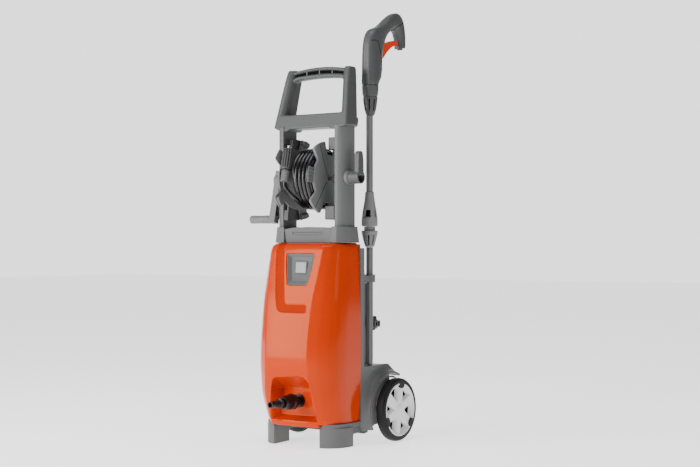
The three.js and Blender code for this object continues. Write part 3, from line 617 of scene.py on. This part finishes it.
def make_cover():
    rings = []
    for t in cover_levels():
        row = spline_row(COVER, t)
        z, front = row[:2]
        half = cover_section(row, 48, 4)
        full = [(-x, y) for x, y in reversed(half[1:])] + half
        rings.append([(x, y + (set_back(x, y, z) if abs(x) <= front + 0.01 else 0.0), z) for x, y in full])
    # The top runs in level behind the rolled shoulder, and the lower rim turns in.
    last, base = rings[-1], rings[0]
    for k in (0.86, 0.6):
        rings.append([(x * k, -35 + (y + 35) * (k if y < -35 else 1), 471.2) for x, y, z in last])
    rim = [[(x * k, y + (inset if y < 20 else 0), low) for x, y, z in base]
           for k, inset, low in ((0.96, 3.0, 56), (0.985, 1.5, 53.6))]
    rings = rim + rings
    verts = [v for ring in rings for v in ring]
    cover = new_mesh("cover_shell", verts, grid_faces(len(rings), len(rings[0])))
    finish_mesh(cover, "chassis", "orange_plastic", ORANGE, ("front_cover",), 60)
    cover.data.materials.append(ORANGE_GROOVE)
    origin = P(0, 0, 0)
    for poly in cover.data.polygons:
        at = (poly.center - origin) * 1000
        if at.z > FACE_LOW and at.y < -20 and inside_distance(GROOVE, at.x, at.z) > 0.4:
            poly.material_index = 1


make_cover()


def make_cover_lip():
    """The ledge under the recess, in one with the cover."""
    ring = rounded([(-68, -62), (-68, -80), (-35, -84.5), (35, -84.5), (68, -80), (68, -62)],
                   [0, 3, 20, 20, 3, 0], 3)
    rings = []
    for inset, z in ((1.2, 47.5), (0.3, 48.3), (0, 49.5), (0, 59), (0.4, 60.4), (1.6, 61.2)):
        rings.append([(x * (1 - inset / 70), y + (inset if y < -63 else 0), z) for x, y in ring])
    finish_mesh(new_mesh("cover_ledge", *rings_data(rings)), "chassis", "orange_plastic", ORANGE)


make_cover_lip()


# ---- forms shared by the pieces below ----
def prism_faces(n):
    """Both ends and the sides of a prism over n corners."""
    ends = [tuple(range(n)), tuple(range(2 * n - 1, n - 1, -1))]
    return ends + [(i, (i + 1) % n, n + (i + 1) % n, n + i) for i in range(n)]


def slab(name, axis, outline, a, b, body="chassis", slot="grey_plastic", material=GREY, nodes=(), bevel=0.8,
         sharp=30):
    """A flat outline carried along an axis from a to b, with rounded rims."""
    verts = [on_axis(axis, u, v, t) for t in (a, b) for u, v in outline]
    obj = new_mesh(name, verts, prism_faces(len(outline)))
    if bevel:
        add_bevel(obj, bevel, sharp)
    return finish_mesh(obj, body, slot, material, nodes, sharp)


def turned_to(centre, degrees, pairs):
    """Points given as out and across, turned round a centre."""
    a = math.radians(degrees)
    c, s = math.cos(a), math.sin(a)
    return [(centre[0] + r * c - t * s, centre[1] + r * s + t * c) for r, t in pairs]


def split_path(path, fine):
    """Adds points to a path so that no step is longer than fine."""
    out = [path[0]]
    for a, b in zip(path, path[1:]):
        n = max(int(math.ceil(math.dist(a, b) / fine)), 1)
        out += [tuple(p + (q - p) * k / n for p, q in zip(a, b)) for k in range(1, n + 1)]
    return out


def turned(name, axis, pairs, centre, body="chassis", slot="grey_plastic", material=GREY, nodes=(),
           carve=None, steps=120, radius=0.8, fine=2.0, dark=None, deep_from=1.2, sharp=35, side=1):
    """A turned form; carve(r, t, angle) moves its surface, and dark is the material, painted shade, for the
    faces where it moves far.
    """
    path = split_path(rounded(pairs, radius, 3), fine)
    verts, faces = lathe_data(axis, path, centre, steps)
    deep = set()
    if carve:
        for i, (r, t) in enumerate(path * steps):
            angle = 2 * math.pi * (i // len(path)) / steps
            r2, t2 = carve(r, t, angle)
            if dark and abs(r2 - r) + abs(t2 - t) > deep_from:
                deep.add(i)
            verts[i] = on_axis(axis, centre[0] + r2 * math.cos(angle), centre[1] + r2 * math.sin(angle), t2)
    if side < 0:
        verts = [(-x, y, z) for x, y, z in verts]
    return finish_mesh(new_mesh(name, verts, faces, deep), body, slot, material, nodes, sharp, dark)


def skin(name, rings, body="chassis", slot="grey_plastic", material=GREY, nodes=(), levels=1, sharp=180):
    """A smooth closed skin over rings of equal count."""
    obj = new_mesh(name, *rings_data(rings))
    if levels:
        mod = obj.modifiers.new("round", "SUBSURF")
        mod.levels = levels
        mod.render_levels = levels
    return finish_mesh(obj, body, slot, material, nodes, sharp)


def reshaped(obj, voxel, smooth):
    """Turns joined forms into one soft skin."""
    mod = obj.modifiers.new("one_skin", "REMESH")
    mod.mode = "VOXEL"
    mod.voxel_size = voxel / 1000
    mod.use_smooth_shade = True
    mod = obj.modifiers.new("soft", "SMOOTH")
    mod.factor = 0.5
    mod.iterations = smooth
    return obj


def bar(name, path, half_y, half_z, body, slot, material):
    """A bar of rounded section that runs mostly along X."""
    around = 20
    power = 2.4
    rings = []
    for i, (x, y, z) in enumerate(path):
        ax, _, az = path[max(i - 1, 0)]
        bx, _, bz = path[min(i + 1, len(path) - 1)]
        length = math.hypot(bx - ax, bz - az)
        nx, nz = -(bz - az) / length, (bx - ax) / length
        ring = []
        for k in range(around):
            a = 2 * math.pi * k / around
            c, s = math.cos(a), math.sin(a)
            u = half_y * math.copysign(abs(c) ** (2 / power), c)
            v = half_z * math.copysign(abs(s) ** (2 / power), s)
            ring.append((x + nx * v, y + u, z + nz * v))
        rings.append(ring)
    skin(name, rings, body, slot, material)


def blend(table, t):
    """Straight reading between rows of a table whose first column rises."""
    if t <= table[0][0]:
        return table[0][1:]
    for a, b in zip(table, table[1:]):
        if t <= b[0]:
            k = (t - a[0]) / (b[0] - a[0])
            return [p + (q - p) * k for p, q in zip(a[1:], b[1:])]
    return table[-1][1:]


# ---- handle ----
# Height, outer and inner half width, front, back.
HANDLE = [(742, 107, 80, -23, 31), (775, 103.5, 79, -15, 36), (862, 94, 69.5, 6, 47), (884, 91, 67, 13, 50)]


def make_handle():
    """Both uprights and the crossbar in one skin."""
    forms = []
    for side in (-1, 1):
        rings = []
        for z, shrink in ((744, 2.5), (745, 0.8), (748, 0), (775, 0), (862, 0), (880, 0), (884.6, 1.0),
                          (885.6, 3.2)):
            outer, inner, front, back = blend(HANDLE, min(z, 884))
            outline = [(inner, back), (inner, front + 15), (inner + 4, front + 5), (inner + 11, front),
                       (outer - 3, front), (outer, front + 4), (outer, back - 9), (outer - 9, back)]
            outline = rounded(outline, [5, 8, 6, 3, 2, 3, 8, 8], 4, True)
            mid = ((outer + inner) / 2, (front + back) / 2)
            ring = []
            for x, y in outline:
                dx, dy = x - mid[0], y - mid[1]
                k = 1 - shrink / math.hypot(dx, dy)
                ring.append((side * (mid[0] + dx * k), mid[1] + dy * k, z))
            rings.append(ring)
        forms.append(rings_data(rings))
    low = [(-103, 744.5), (-92, 739.5), (-70, 735.8), (-62, 736.5), (-58, 741), (58, 741), (62, 736.5),
           (70, 735.8), (92, 739.5), (103, 744.5)]
    high = [(103, 762), (90, 775), (-90, 775), (-103, 762)]
    outline = rounded(low + high, [2, 6, 5, 2, 2, 2, 2, 5, 6, 2, 2, 4, 4, 2], 4, True)
    crossbar = [(x, blend(HANDLE, z)[2] + 0.24 * min(z - 742, 0), z) for x, z in outline]
    crossbar += [(x, blend(HANDLE, z)[3], z) for x, z in outline]
    forms.append((crossbar, prism_faces(len(outline))))
    verts, faces = [], []
    for more_verts, more_faces in forms:
        faces += [[len(verts) + v for v in face] for face in more_faces]
        verts += more_verts
    handle = reshaped(new_mesh("handle", verts, faces), 1.5, 5)
    # The handle takes the darker copy of the grey plastic as painted shade.
    finish_mesh(handle, "chassis", "grey_plastic", SHADED_GREY, ("handle_frame",), 40)


def make_grip():
    """The two bars of the grip, the dark strip in the slot between them and its ribs."""
    upper, lower = [], []
    half, count = 78, 24
    for i in range(count + 1):
        x = -half + 2 * half * i / count
        bow = 1 - (x / half) ** 2
        upper.append((x, 31 - 1.5 * (1 - bow), 876.2 + 8.2 * bow))
        lower.append((x, 27 - 3 * (1 - bow), 862.2 + 5.4 * bow - 6 * max(abs(x) - 66, 0) / 12))
    # The bars take the darker copy of the grey plastic as painted shade.
    bar("grip_bar", upper, 16, 5.2, "chassis", "grey_plastic", SHADED_GREY)
    bar("grip_bar_low", lower, 12.5, 6.2, "chassis", "grey_plastic", SHADED_GREY)
    inner = [(-70, 861), (0, 868), (70, 861), (70, 876), (0, 883), (-70, 876)]
    slab("grip_gap", "y", inner, 20.5, 26, "chassis", "soft_black", SOFT_BLACK_AND_SHADE, ("grip_insert",), 0)
    for i, x in enumerate((-37, 0, 37)):
        z = 876 - 2.6 * (x / 37) ** 2 * 0.7
        rib = [(x - 1, z - 7), (x + 1, z - 7), (x + 1, z + 5), (x - 1, z + 5)]
        slab("grip_rib_%d" % i, "y", rib, 18.4, 24, material=PALE, bevel=0.4)


make_handle()
make_grip()


# ---- posts and cable hook ----
HOOK = (-2, 623)  # axis of the cable hook, as Y and Z


def make_posts():
    """The two posts, a little inside their sockets, and the seat of the cable hook."""
    gap = 0.3
    outline = [(73.4 + gap, -25.5 + gap), (82, -25.5 + gap), (92 - gap, -19 + gap), (100 - gap, -5),
               (102 - gap, 14), (97 - gap, 29 - gap), (73.4 + gap, 30 - gap)]
    outline = rounded(outline, [2, 9, 9, 9, 11, 10, 2], 5, True)
    for side, name, node in ((-1, "post_crank_side", "left_post"), (1, "post_wheel_side", "right_post")):
        post = [(side * x, y) for x, y in outline]
        slab(name, "z", post, 478, 746, nodes=(node,), bevel=0.6)
    hub = [(16.5, 95), (16.5, 103.6), (15, 103.6), (15, 101)]
    turned("hook_seat", "x", hub, HOOK, radius=0.6)


make_posts()


def make_hook():
    # The barrel and the prong take the darker copy of the grey plastic as painted shade.
    barrel = [(0.01, 112), (12, 112), (12.6, 133.4), (13.4, 134.2), (14.8, 134.2), (15.6, 133.2), (15.6, 106),
              (17, 104.2), (0.01, 104.2)]
    turned("hook", "x", barrel, HOOK, "cable_hook", "grey_plastic", SHADED_GREY, ("cable_hook",), radius=0.8)
    # A soft black disc on the floor of the bore paints the shade inside it.
    disc = [(0.01, 113), (11.9, 113), (11.9, 112.4)]
    turned("hook_bore", "x", disc, HOOK, "cable_hook", "grey_plastic", SOFT_BLACK_AND_SHADE)
    prong = [(-13, 627), (9, 627), (8, 668), (5, 680), (1, 683.5), (-6, 683.5), (-10, 680), (-12, 668)]
    prong = rounded(prong, [2, 2, 14, 5, 3, 3, 5, 14], 4, True)
    slab("hook_prong", "x", prong, 121, 134, "cable_hook", "grey_plastic", SHADED_GREY, bevel=2.6)


make_hook()


# ---- switch ----
def face_front(z):
    """How far forward the front face stands at a height, read straight between rows of COVER."""
    return blend([(row[0], row[2]) for row in COVER], z)[0]


def make_switch_tray():
    """The dished panel in the window of the cover, and a flat seat for the switch."""
    mid_x, mid_z = 12.5, 411
    rings = []
    for k, push in ((1.02, 26), (1.02, 1.6), (1.0, 0.6), (0.97, 0.5), (0.93, 1.6), (0.78, 8.4), (0.76, 8.8)):
        ring = [(mid_x + (x - mid_x) * k, mid_z + (z - mid_z) * k) for x, z in WINDOW]
        rings.append([(x, face_front(z) + push, z) for x, z in ring])
    skin("switch_tray", rings, nodes=("switch_panel",), levels=0, sharp=30)
    seat = rounded([(-2.5, 398.5), (31.5, 398.5), (31.5, 429.5), (-2.5, 429.5)], 2, 3, True)
    rings = [[(x, face_front(z) + push, z) for x, z in seat] for push in (8.2, 20)]
    skin("switch_seat", rings, material=DARK, levels=0, sharp=30)


def make_rocker():
    """The rocker: a grid of points with low rims, closed by a flat back."""
    xs = (-0.4, 0.6, 3, 8, 14.5, 21, 26, 28.4, 29.4)
    zs = (401, 402, 404, 408, 412, 416, 420, 424, 426, 427)
    n, m = len(xs), len(zs)
    rows = []
    for z in zs:
        y = face_front(414) + 5.6 + (z - 414) * 0.1
        edge = 1.6 if z in (zs[0], zs[-1]) else 0.4 if z in (zs[1], zs[-2]) else 0
        rows.append([(x, y + edge + (1.2 if x in (xs[0], xs[-1]) else 0), z) for x in xs])
    verts = [v for row in rows for v in row]
    base = len(verts)
    verts += [(x, -58, z) for x, _, z in verts]
    faces = []
    for cell in grid_faces(m, n):
        faces += [cell, [base + cell[k] for k in (0, 3, 2, 1)]]
    rim = list(range(n)) + [i * n + n - 1 for i in range(1, m)]
    rim += [(m - 1) * n + j for j in range(n - 2, -1, -1)] + [i * n for i in range(m - 2, 0, -1)]
    for a, b in zip(rim, rim[1:] + rim[:1]):
        faces.append((a, b, base + b, base + a))
    rocker = new_mesh("switch_rocker", verts, faces)
    finish_mesh(rocker, "power_switch", "pale_grey_plastic", SWITCH, ("power_switch",), 40)


make_switch_tray()
make_rocker()


# ---- reel ----
def on_reel(polar):
    """Points in the plane of the reel, from angles in degrees and radii."""
    return [(REEL[0] + r * math.cos(math.radians(a)), REEL[1] + r * math.sin(math.radians(a)))
            for a, r in polar]


def around_reel(count, first, half, low, high):
    """Lobes of radius high over a rim of radius low, seen along X."""
    outline = []
    pitch = 360 / count
    corner = []
    slope = 4
    for i in range(count):
        mid = first + i * pitch
        rest = pitch - 2 * (half + slope)
        outline += [(mid - half - slope, low)] + [(mid - half + 2 * half * k / 6, high) for k in range(7)]
        outline += [(mid + half + slope + rest * k / 10, low) for k in range(10)]
        corner += [5, 5] + [0] * 5 + [5, 5] + [0] * 9
    return rounded(on_reel(outline), corner, 4, True)


def spoke_groove(name, angle, r0, r1, width, x, material):
    """A flat strip that runs out from the hub."""
    w = width / 2
    outline = turned_to(REEL, angle, [(r0, -w), (r1, -w), (r1, w), (r0, w)])
    slab(name, "x", outline, x - 1.5, x, "reel", "grey_plastic", material, bevel=0.3)


def make_reel():
    """The two flanges with their ribs and blocks, the core, the hub and the shaft."""
    # The front flange, the hub and the ribs take the lighter copy of the grey plastic as painted light.
    slab("drum_flange", "x", around_reel(3, 113, 16, 57, 88), 26.6, 33.2, "reel", "grey_plastic",
         FLANGE_LIGHTENED_GREY, ("reel_drum",), 1.0)
    slab("drum_tabs", "x", around_reel(3, 173, 15, 50, 76), 27, 30, "reel")
    slab("drum_back_flange", "x", around_reel(5, 143, 9, 72, 98), -59.4, -56.7, "reel", "grey_plastic",
         MID_GREY, bevel=0.9)
    for i, angle in enumerate((215, 287, 359, 71)):
        block = on_reel([(angle - 7, 85), (angle - 7, 96), (angle, 97), (angle + 7, 96), (angle + 7, 85),
                         (angle, 86)])
        slab("drum_grip_%d" % i, "x", rounded(block, 1.5, 2, True), -59.2, -49, "reel")
    turned("drum_core", "x", [(43.6, -57), (43.6, 30)], REEL, "reel", fine=10)
    boss = [(7.5, 33), (7.2, 34.4), (6.6, 34.8), (4.4, 34.8), (4.2, 33.6)]
    turned("drum_hub", "x", boss, REEL, "reel", "grey_plastic", FLANGE_LIGHTENED_GREY, radius=0.3)
    shaft = [(0.01, -117.5), (7.4, -117.5), (8, -116.9), (8, 26), (4.2, 26), (4.2, 71.6), (3.8, 72),
             (0.01, 72)]
    turned("drum_shaft", "x", shaft, REEL, "reel", "steel", DARK, ("reel_shaft",), radius=0.3, fine=10)
    for i, first in enumerate((113, 233, 353)):
        for k, off in enumerate((-13, 13)):
            spoke_groove("drum_rib_%d_%d" % (i, k), first + off, 26, 84, 1.2, 33.6, FLANGE_LIGHTENED_GREY)
        spoke_groove("drum_seam_%d" % i, first, 10, 87, 1.5, 33.4, SOFT_BLACK_AND_SHADE)
        for k in range(3):
            spoke_groove("drum_tab_rib_%d_%d" % (i, k), first + 60 + 7 * (k - 1), 58, 74, 1.8, 31.0, MID_GREY)


make_reel()


def make_bracket():
    """The bearing of the drum on the wheel side: two blocks, a wall behind them and a boss, in dark grey as
    painted shade for the shadowed gap between post and reel.
    """
    for name, front, low, high in (("bracket_top", -11, 688, 718), ("bracket_low", -25, 525, 558)):
        block = [(front, low), (30, low), (30, high), (front, high)]
        slab(name, "x", rounded(block, 3, 3, True), 46.8, 73.1, material=DARK, bevel=1.0)
    wall = [(4, 540), (30, 540), (30, 700), (4, 700)]
    slab("bracket_wall", "x", wall, 60, 73.1, material=DARK, nodes=("right_reel_bracket",), bevel=1.0)
    boss = [(4.6, 54), (13, 54), (14, 55), (14, 73)]
    turned("bracket_boss", "x", boss, REEL, material=DARK, radius=0.5)


def make_base_trims():
    """On each side the rim of the wheel arch, close behind the tyre, and the side of the base before it."""
    arc = [math.radians(97 + 3 * k) for k in range(36)]
    lip = [(WHEEL[0] + r * math.cos(a), WHEEL[1] + r * math.sin(a))
           for r, run in ((88, arc), (69.5, reversed(arc))) for a in run]
    skirt = rounded([(-34, 24), (60, 28), (60, 54), (-34, 54)], 2, 2, True)
    for name, outline, low, high, bevel in (("arch_lip_", lip, 124, 130.6, 0.8),
                                            ("base_skirt_", skirt, 88, 102.6, 1.5)):
        for side, tag in ((-1, "a"), (1, "b")):
            slab(name + tag, "x", outline, side * low, side * high, bevel=bevel)


def make_clip_lug():
    """The outer cheek of the spare nozzle clip, with thin soft black patches that paint the shade in its two
    openings.
    """
    cheek = rounded([(108, 270), (131, 270), (131, 286), (108, 286)], 3, 3, True)
    slab("clip_cheek", "x", cheek, 95, 99.5, bevel=1.0)
    for i, y in enumerate((111.5, 121.5)):
        hole = [(y, 273), (y + 6, 273), (y + 6, 283), (y, 283)]
        slab("clip_opening_%d" % i, "x", hole, 99, 99.8, "chassis", "soft_black", SOFT_BLACK_AND_SHADE, bevel=0)


make_bracket()
make_clip_lug()
make_base_trims()


# ---- hand nut and ferrule on the hose end ----
def leaned(obj):
    """Leans a piece back round the reel, about the top of the hose."""
    pivot = P(*NUT)
    turn = math.radians(-NUT_TILT)
    c, s = math.cos(turn), math.sin(turn)
    for vert in obj.data.vertices:
        dy, dz = vert.co.y - pivot.y, vert.co.z - pivot.z
        vert.co.y = pivot.y + dy * c - dz * s
        vert.co.z = pivot.z + dy * s + dz * c
    return obj


def make_coupling():
    """The ribbed hand nut and the crimped ferrule, as profiles above the end of the hose."""
    z = NUT[2]

    def ribs(r, t, angle):
        inside = eased(t, z + 33, z + 36) * (1 - eased(t, z + 78, z + 80))
        wave = 0.5 - 0.5 * math.cos(14 * angle)
        return (r - 1.9 * wave ** 2 * inside, t) if r > 12 else (r, t)

    profile = [(5.3, 82.3), (9, 82.3), (13.2, 81), (14.6, 77), (14.8, 60), (14.8, 37), (13.2, 31.5), (10, 30.2),
               (5.3, 30.2), (5.3, 82.3)]
    nut = turned("hand_nut", "z", [(r, z + t) for r, t in profile], NUT[:2], "hose_nut",
                 "dark_grey_plastic", DARK, ("hose_nut",), ribs, 168, 1.5, 1.6)

    def ridges(r, t, angle):
        ridge = 0.5 - 0.5 * math.cos(2 * math.pi * (t - z) / 5)
        return (r - 0.9 * ridge, t) if r > 9 and z + 1.5 < t < z + 27 else (r, t)

    profile = [(0.01, 0.3), (9.6, 0.3), (10.7, 2), (10.7, 26), (9.3, 29.4), (5, 29.6), (5, 87.5), (4.6, 88),
               (3, 88), (3, 76), (0.01, 76)]
    ferrule = turned("nipple", "z", [(r, z + t) for r, t in profile], NUT[:2], "reel", "steel", STEEL,
                     ("hose_nipple",), ridges, 64, 0.6, 1.2)
    ferrule.data.materials.append(GREY)
    for poly in ferrule.data.polygons:
        poly.material_index = 1 if poly.center.z < P(0, 0, z + 30).z else 0
    return leaned(nut), leaned(ferrule)


hand_nut, nipple = make_coupling()


# ---- wheels ----
WHEEL_OUT = 156.0  # outer side of a wheel
TAB_ANGLES = (84, 204, 324)


def wheel_windows(r, t, angle):
    """Sinks six rounded triangles into the face of a rim."""
    if not 20 < r < 59:
        return r, t
    degree = 57.3
    degrees = (math.degrees(angle) + 7) % 60
    off = min(degrees, 60 - degrees)
    half = 30 - 9.5 / r * degree
    inside = min((half - off) * r / degree / 8.5, (r - 22) / 15, (58.5 - r) / 13)
    if inside <= 0:
        return r, t
    return r, t - (9 if inside > 0.5 else 13 * inside)


def make_wheel(side, tag, word):
    body = word + "_wheel"

    def part(name, depths, slot, material, nodes=(), carve=None, steps=120, **more):
        """A turned form of radii and depths under the outer side."""
        profile = [(r, WHEEL_OUT - depth) for r, depth in depths]
        turned(name + tag, "x", profile, WHEEL, body, slot, material, nodes, carve, steps, side=side, **more)

    face = [(7, 2.4), (16, 2.8), (30, 3.4), (54, 3.2), (57.5, 2.4), (60, 0.2), (62.4, 0.4), (62.6, 4),
            (62.6, 24)]
    # The sunk floors of the windows take soft black as painted shade, in place of the dark seen through open
    # windows.
    part("rim_", face, "rim_plastic", RIM, (word + "_rim",), wheel_windows, 240, fine=1.0, dark=SOFT_BLACK_AND_SHADE,
         deep_from=8.8, sharp=30)
    cap = [(0.01, 0.6), (7, 1.0), (12, 1.9), (14.6, 3.2), (14.6, 6)]
    part("hub_cap_", cap, "rim_plastic", RIM, (word + "_hub_cap",), radius=1.5)
    back = [(62.6, 24), (40, 24.5), (14, 25.5), (7, 26.5)]
    part("rim_back_", back, "rim_plastic", RIM, radius=1.5)
    tyre = [(62.7, 22), (63, 24), (67, 25), (71.5, 23.5), (74.3, 20), (75, 15), (75, 10), (74.2, 5.2),
            (71.8, 1.6), (69, 0.5), (68.2, 0.9), (67.4, 0.5), (63.2, 0.3), (62.7, 2.5)]
    part("tyre_", tyre, "tyre", TYRE, (word + "_tyre",), radius=1.6, fine=3, sharp=60)
    for i, degrees in enumerate(TAB_ANGLES):
        tab = turned_to(WHEEL, degrees, [(50.5, -9.5), (50.5, 9.5), (66, 13.5), (66, -13.5)])
        slab("tyre_tab_%s_%d" % (tag, i), "x", rounded(tab, [9, 9, 1, 1], 5, True), side * (WHEEL_OUT - 5),
             side * (WHEEL_OUT - 0.1), body, "tyre", TYRE, bevel=0.7)


make_wheel(-1, "a", "left")
make_wheel(1, "b", "right")


# ---- lance ----
def slots(first, low, high, half, count):
    """A carve of count slots, from low to high along the axis; half is half their width in degrees."""
    def carve(r, t, angle):
        degrees = math.degrees(angle - math.radians(first)) % (360 / count)
        off = min(degrees, 360 / count - degrees)
        return (r * 0.72, t) if r > 8 and low < t < high and off < half else (r, t)
    return carve


def flutes(r, t, angle):
    return (r * (1 - 0.13 * (0.5 - 0.5 * math.cos(6 * angle)) ** 2), t) if r > 7 else (r, t)


def make_bell(name, profile, node, carve):
    # The bells take the pale grey, lighter than their grey plastic, as painted light, since the lamps leave the
    # low parts dim; the floors of their slots take soft black as painted shade.
    turned(name, "z", profile, LANCE, "lance", "grey_plastic", PALE, (node,), carve, 144, fine=1.5,
           dark=SOFT_BLACK_AND_SHADE)


def make_lance():
    low = [(0.01, 181.5), (6, 181.5), (8, 185), (8.6, 200), (8.6, 461), (0.01, 461)]
    high = [(0.01, 592.3), (8.6, 592.3), (8.6, 773), (0.01, 773)]
    for name, tube, node in (("lance_tube_low", low, "lance_lower_tube"),
                             ("lance_tube_high", high, "lance_upper_tube")):
        turned(name, "z", tube, LANCE, "lance", "dark_grey_plastic", MID_GREY, (node,), flutes, 96, fine=12)
    bell = [(0.01, 461.3), (9.5, 461.3), (11.5, 464), (14.5, 474), (17.6, 487), (19.4, 496), (19.4, 499.7),
            (17.5, 500.2), (0.01, 500.2)]
    make_bell("bell_low", bell, "lance_lower_bell", slots(-22, 467, 490, 7, 8))
    ring = [(0.01, 500.4), (13.4, 500.4), (13.4, 509.9), (0.01, 509.9)]
    turned("joint_ring", "z", ring, LANCE, "lance", "pale_grey_plastic", PALE, ("lance_ring",), radius=1.0)
    bell = [(0.01, 510.4), (17.8, 510.4), (19.4, 512), (19.2, 528), (17, 545), (14, 562), (11.5, 578),
            (10.4, 592), (0.01, 592)]
    make_bell("bell_high", bell, "lance_upper_bell", slots(-75, 532, 549, 26, 4))
    nose = [(0.01, 773.4), (8.9, 773.4), (10.5, 776), (14.2, 788), (16.8, 806), (17.6, 817), (16.9, 818.2),
            (16.9, 819.4), (18.2, 820.6), (19.4, 832), (20.2, 844.6), (0.01, 844.6)]
    # The nose takes the darker copy of the grey plastic as painted shade, and the floors of its slots take soft
    # black as painted shade.
    turned("nose", "z", nose, (LANCE[0], LANCE[1] + 3), "lance", "grey_plastic", SHADED_GREY, ("gun_nose",),
           slots(-66, 784, 812, 6, 8), 180, fine=2, dark=SOFT_BLACK_AND_SHADE)


make_lance()


# ---- gun ----
# Front or upper edge, then back or lower edge, of each section of the gun, as Y and Z; then half width.
GUN = [
    (67.5, 845, 108, 845, 19), (67.5, 859, 112, 859, 19.5), (67.5, 863, 121, 863, 19.5),
    (67.5, 885, 123, 882, 19.5), (68, 910, 124, 900, 19.5), (69, 932, 126, 921, 19.5),
    (71.5, 952, 131, 938, 19), (77, 968, 137, 950, 18.5), (88, 980, 142, 960, 17.5),
    (104, 984.5, 147, 967, 16.5), (120, 990, 153, 974, 16), (134, 999, 160, 979, 15.5),
    (150, 1011, 169, 984, 15), (167, 1022, 179, 987.5, 15), (184, 1030.5, 187, 987, 15),
    (201, 1033.5, 194, 984, 15), (215, 1028, 199, 978, 14.5), (224, 1013, 203, 970, 14.5),
    (229, 995, 206, 963, 14.2), (231.5, 972, 207.5, 955, 14), (231.5, 951, 208, 946.5, 13.5),
]


def gun_ring(row, scale=1.0, shift=(0, 0)):
    """A rounded section between the two edges of a row; the seam line is set in a little."""
    ay, az, by, bz, w = row
    my, mz = (ay + by) / 2 + shift[0], (az + bz) / 2 + shift[1]
    hy, hz = (ay - by) / 2 * scale, (az - bz) / 2 * scale
    ring = []
    around = 40
    for k in range(around):
        a = 2 * math.pi * k / around
        c, s = math.cos(a), math.sin(a)
        u = math.copysign(abs(c) ** 0.8, c)
        v = math.copysign(abs(s) ** 0.75, s) * w * scale
        if k % (around // 2) == 0 and scale == 1.0:
            u *= 0.965
        ring.append((LANCE[0] + v, my + hy * u, mz + hz * u))
    return ring


def make_gun():
    start, end = GUN[0], GUN[-1]
    rings = [gun_ring(start, 0.9, (0, -0.1)), gun_ring(start, 0.97, (0, 0.3))]
    rings += [gun_ring(row) for row in GUN[1:]]
    rings += [gun_ring(end, 0.95, (0, -1.6)), gun_ring(end, 0.84, (0, -1.8)), gun_ring(end, 0.74, (-0.8, 10))]
    # The gun takes the darker copy of the grey plastic as painted shade.
    return skin("gun_body", rings, "lance", "grey_plastic", SHADED_GREY, ("gun_left_half", "gun_right_half"),
                sharp=50)


def make_lever():
    """The loop under the arm, where the fingers pull the lever."""
    lever = [(118, 908), (118, 943), (130, 948.5), (146, 953), (170, 960), (188, 964), (196, 961),
             (198, 953), (192, 949), (182, 950), (168, 943), (150, 930), (134, 914)]
    lever = rounded(lever, [2, 3, 6, 10, 10, 4, 2, 2, 2, 4, 10, 10, 4], 3, True)
    slab("trigger_lever", "x", lever, LANCE[0] - 7, LANCE[0] + 7, "trigger", "orange_plastic",
         ORANGE_SMALL, ("gun_trigger",), 1.8)


def seam(name, skin_obj, path):
    """A thin dark line laid on the outer side of a skin, along points in Y and Z."""
    graph = bpy.context.evaluated_depsgraph_get()
    graph.update()
    hit_on = skin_obj.evaluated_get(graph)
    points = []
    for y, z in split_path(rounded(path, 6, 4), 3):
        hit, at, _, _ = hit_on.ray_cast(P(LANCE[0] + 60, y, z), Vector((-1, 0, 0)))
        if hit:
            points.append(at)
    finish_mesh(poly_curve(name, points, 0.75, 1), "lance", "soft_black", SOFT_BLACK_AND_SHADE)


gun_body = make_gun()
make_lever()
seam("gun_seam_barrel", gun_body, [(69.5, 950), (92, 952), (98, 940), (124, 862)])
seam("gun_seam_arm", gun_body, [(221, 1012), (200, 1003), (166, 984)])


# ---- refined copies of CAD nodes ----
# Piece, node, slot, material, body if it is not the chassis, and width of its rims if they are rounded.
REFINED = [
    ("chassis_frame", "rear_chassis", "grey_plastic", GREY, "chassis", 0.8),
    ("back_cover", "rear_cover", "dark_grey_plastic", DARK, "chassis", 0.8),
    ("post_collar", "collar", "grey_plastic", GREY, "chassis", 1.2),
    # The bracket on the crank side is dark grey as painted shade, like its twin on the wheel side.
    ("bracket_crank_side", "left_reel_bracket", "grey_plastic", DARK, "chassis", 0.8),
    ("arm", "crank_arm", "pale_grey_plastic", MID_GREY, "reel", 0.8),
    ("knob", "crank_knob", "pale_grey_plastic", MID_GREY, "crank_knob"),
    ("wheel_axle", "axle", "steel", STEEL),
    ("stub", "inlet_stub", "brass", BLACK),
    ("sleeve", "inlet_sleeve", "black_plastic", BLACK, "inlet_sleeve"),
    ("tail", "inlet_tail", "black_plastic", BLACK),
    ("gun_stub", "gun_inlet", "brass", BLACK, "lance", 0.3),
    ("tube_holder", "lance_holder", "grey_plastic", GREY, "chassis", 0.6),
    ("clip", "nozzle_clip", "grey_plastic", GREY, "chassis", 0.6),
    ("nozzle", "spare_nozzle", "black_plastic", BLACK, "spare_nozzle"),
    ("gland", "cord_gland", "black_plastic", BLACK),
    ("motor_shell", "motor_housing", "cast_aluminium", CAST),
    ("stator", "motor_stator", "winding_copper", COPPER),
    ("rotor_body", "motor_rotor", "steel", STEEL, "rotor"),
    ("fan", "cooling_fan", "black_plastic", BLACK, "rotor"),
    ("swash", "wobble_plate", "steel", STEEL, "rotor"),
    ("gearbox", "gear_housing", "cast_aluminium", CAST),
    *(("plunger_" + tag, "piston_" + tag, "steel", STEEL, "piston_" + tag) for tag in "abc"),
    ("pump_block", "pump_head", "cast_aluminium", CAST),
    ("pressure_pipe", "outlet_pipe", "steel", STEEL),
]
for entry in REFINED:
    refined(*entry)


# ---- the hose rides on the reel ----
finish_mesh(hose, "reel", "hose_rubber", HOSE, ("hose_winding", "hose_tail"))
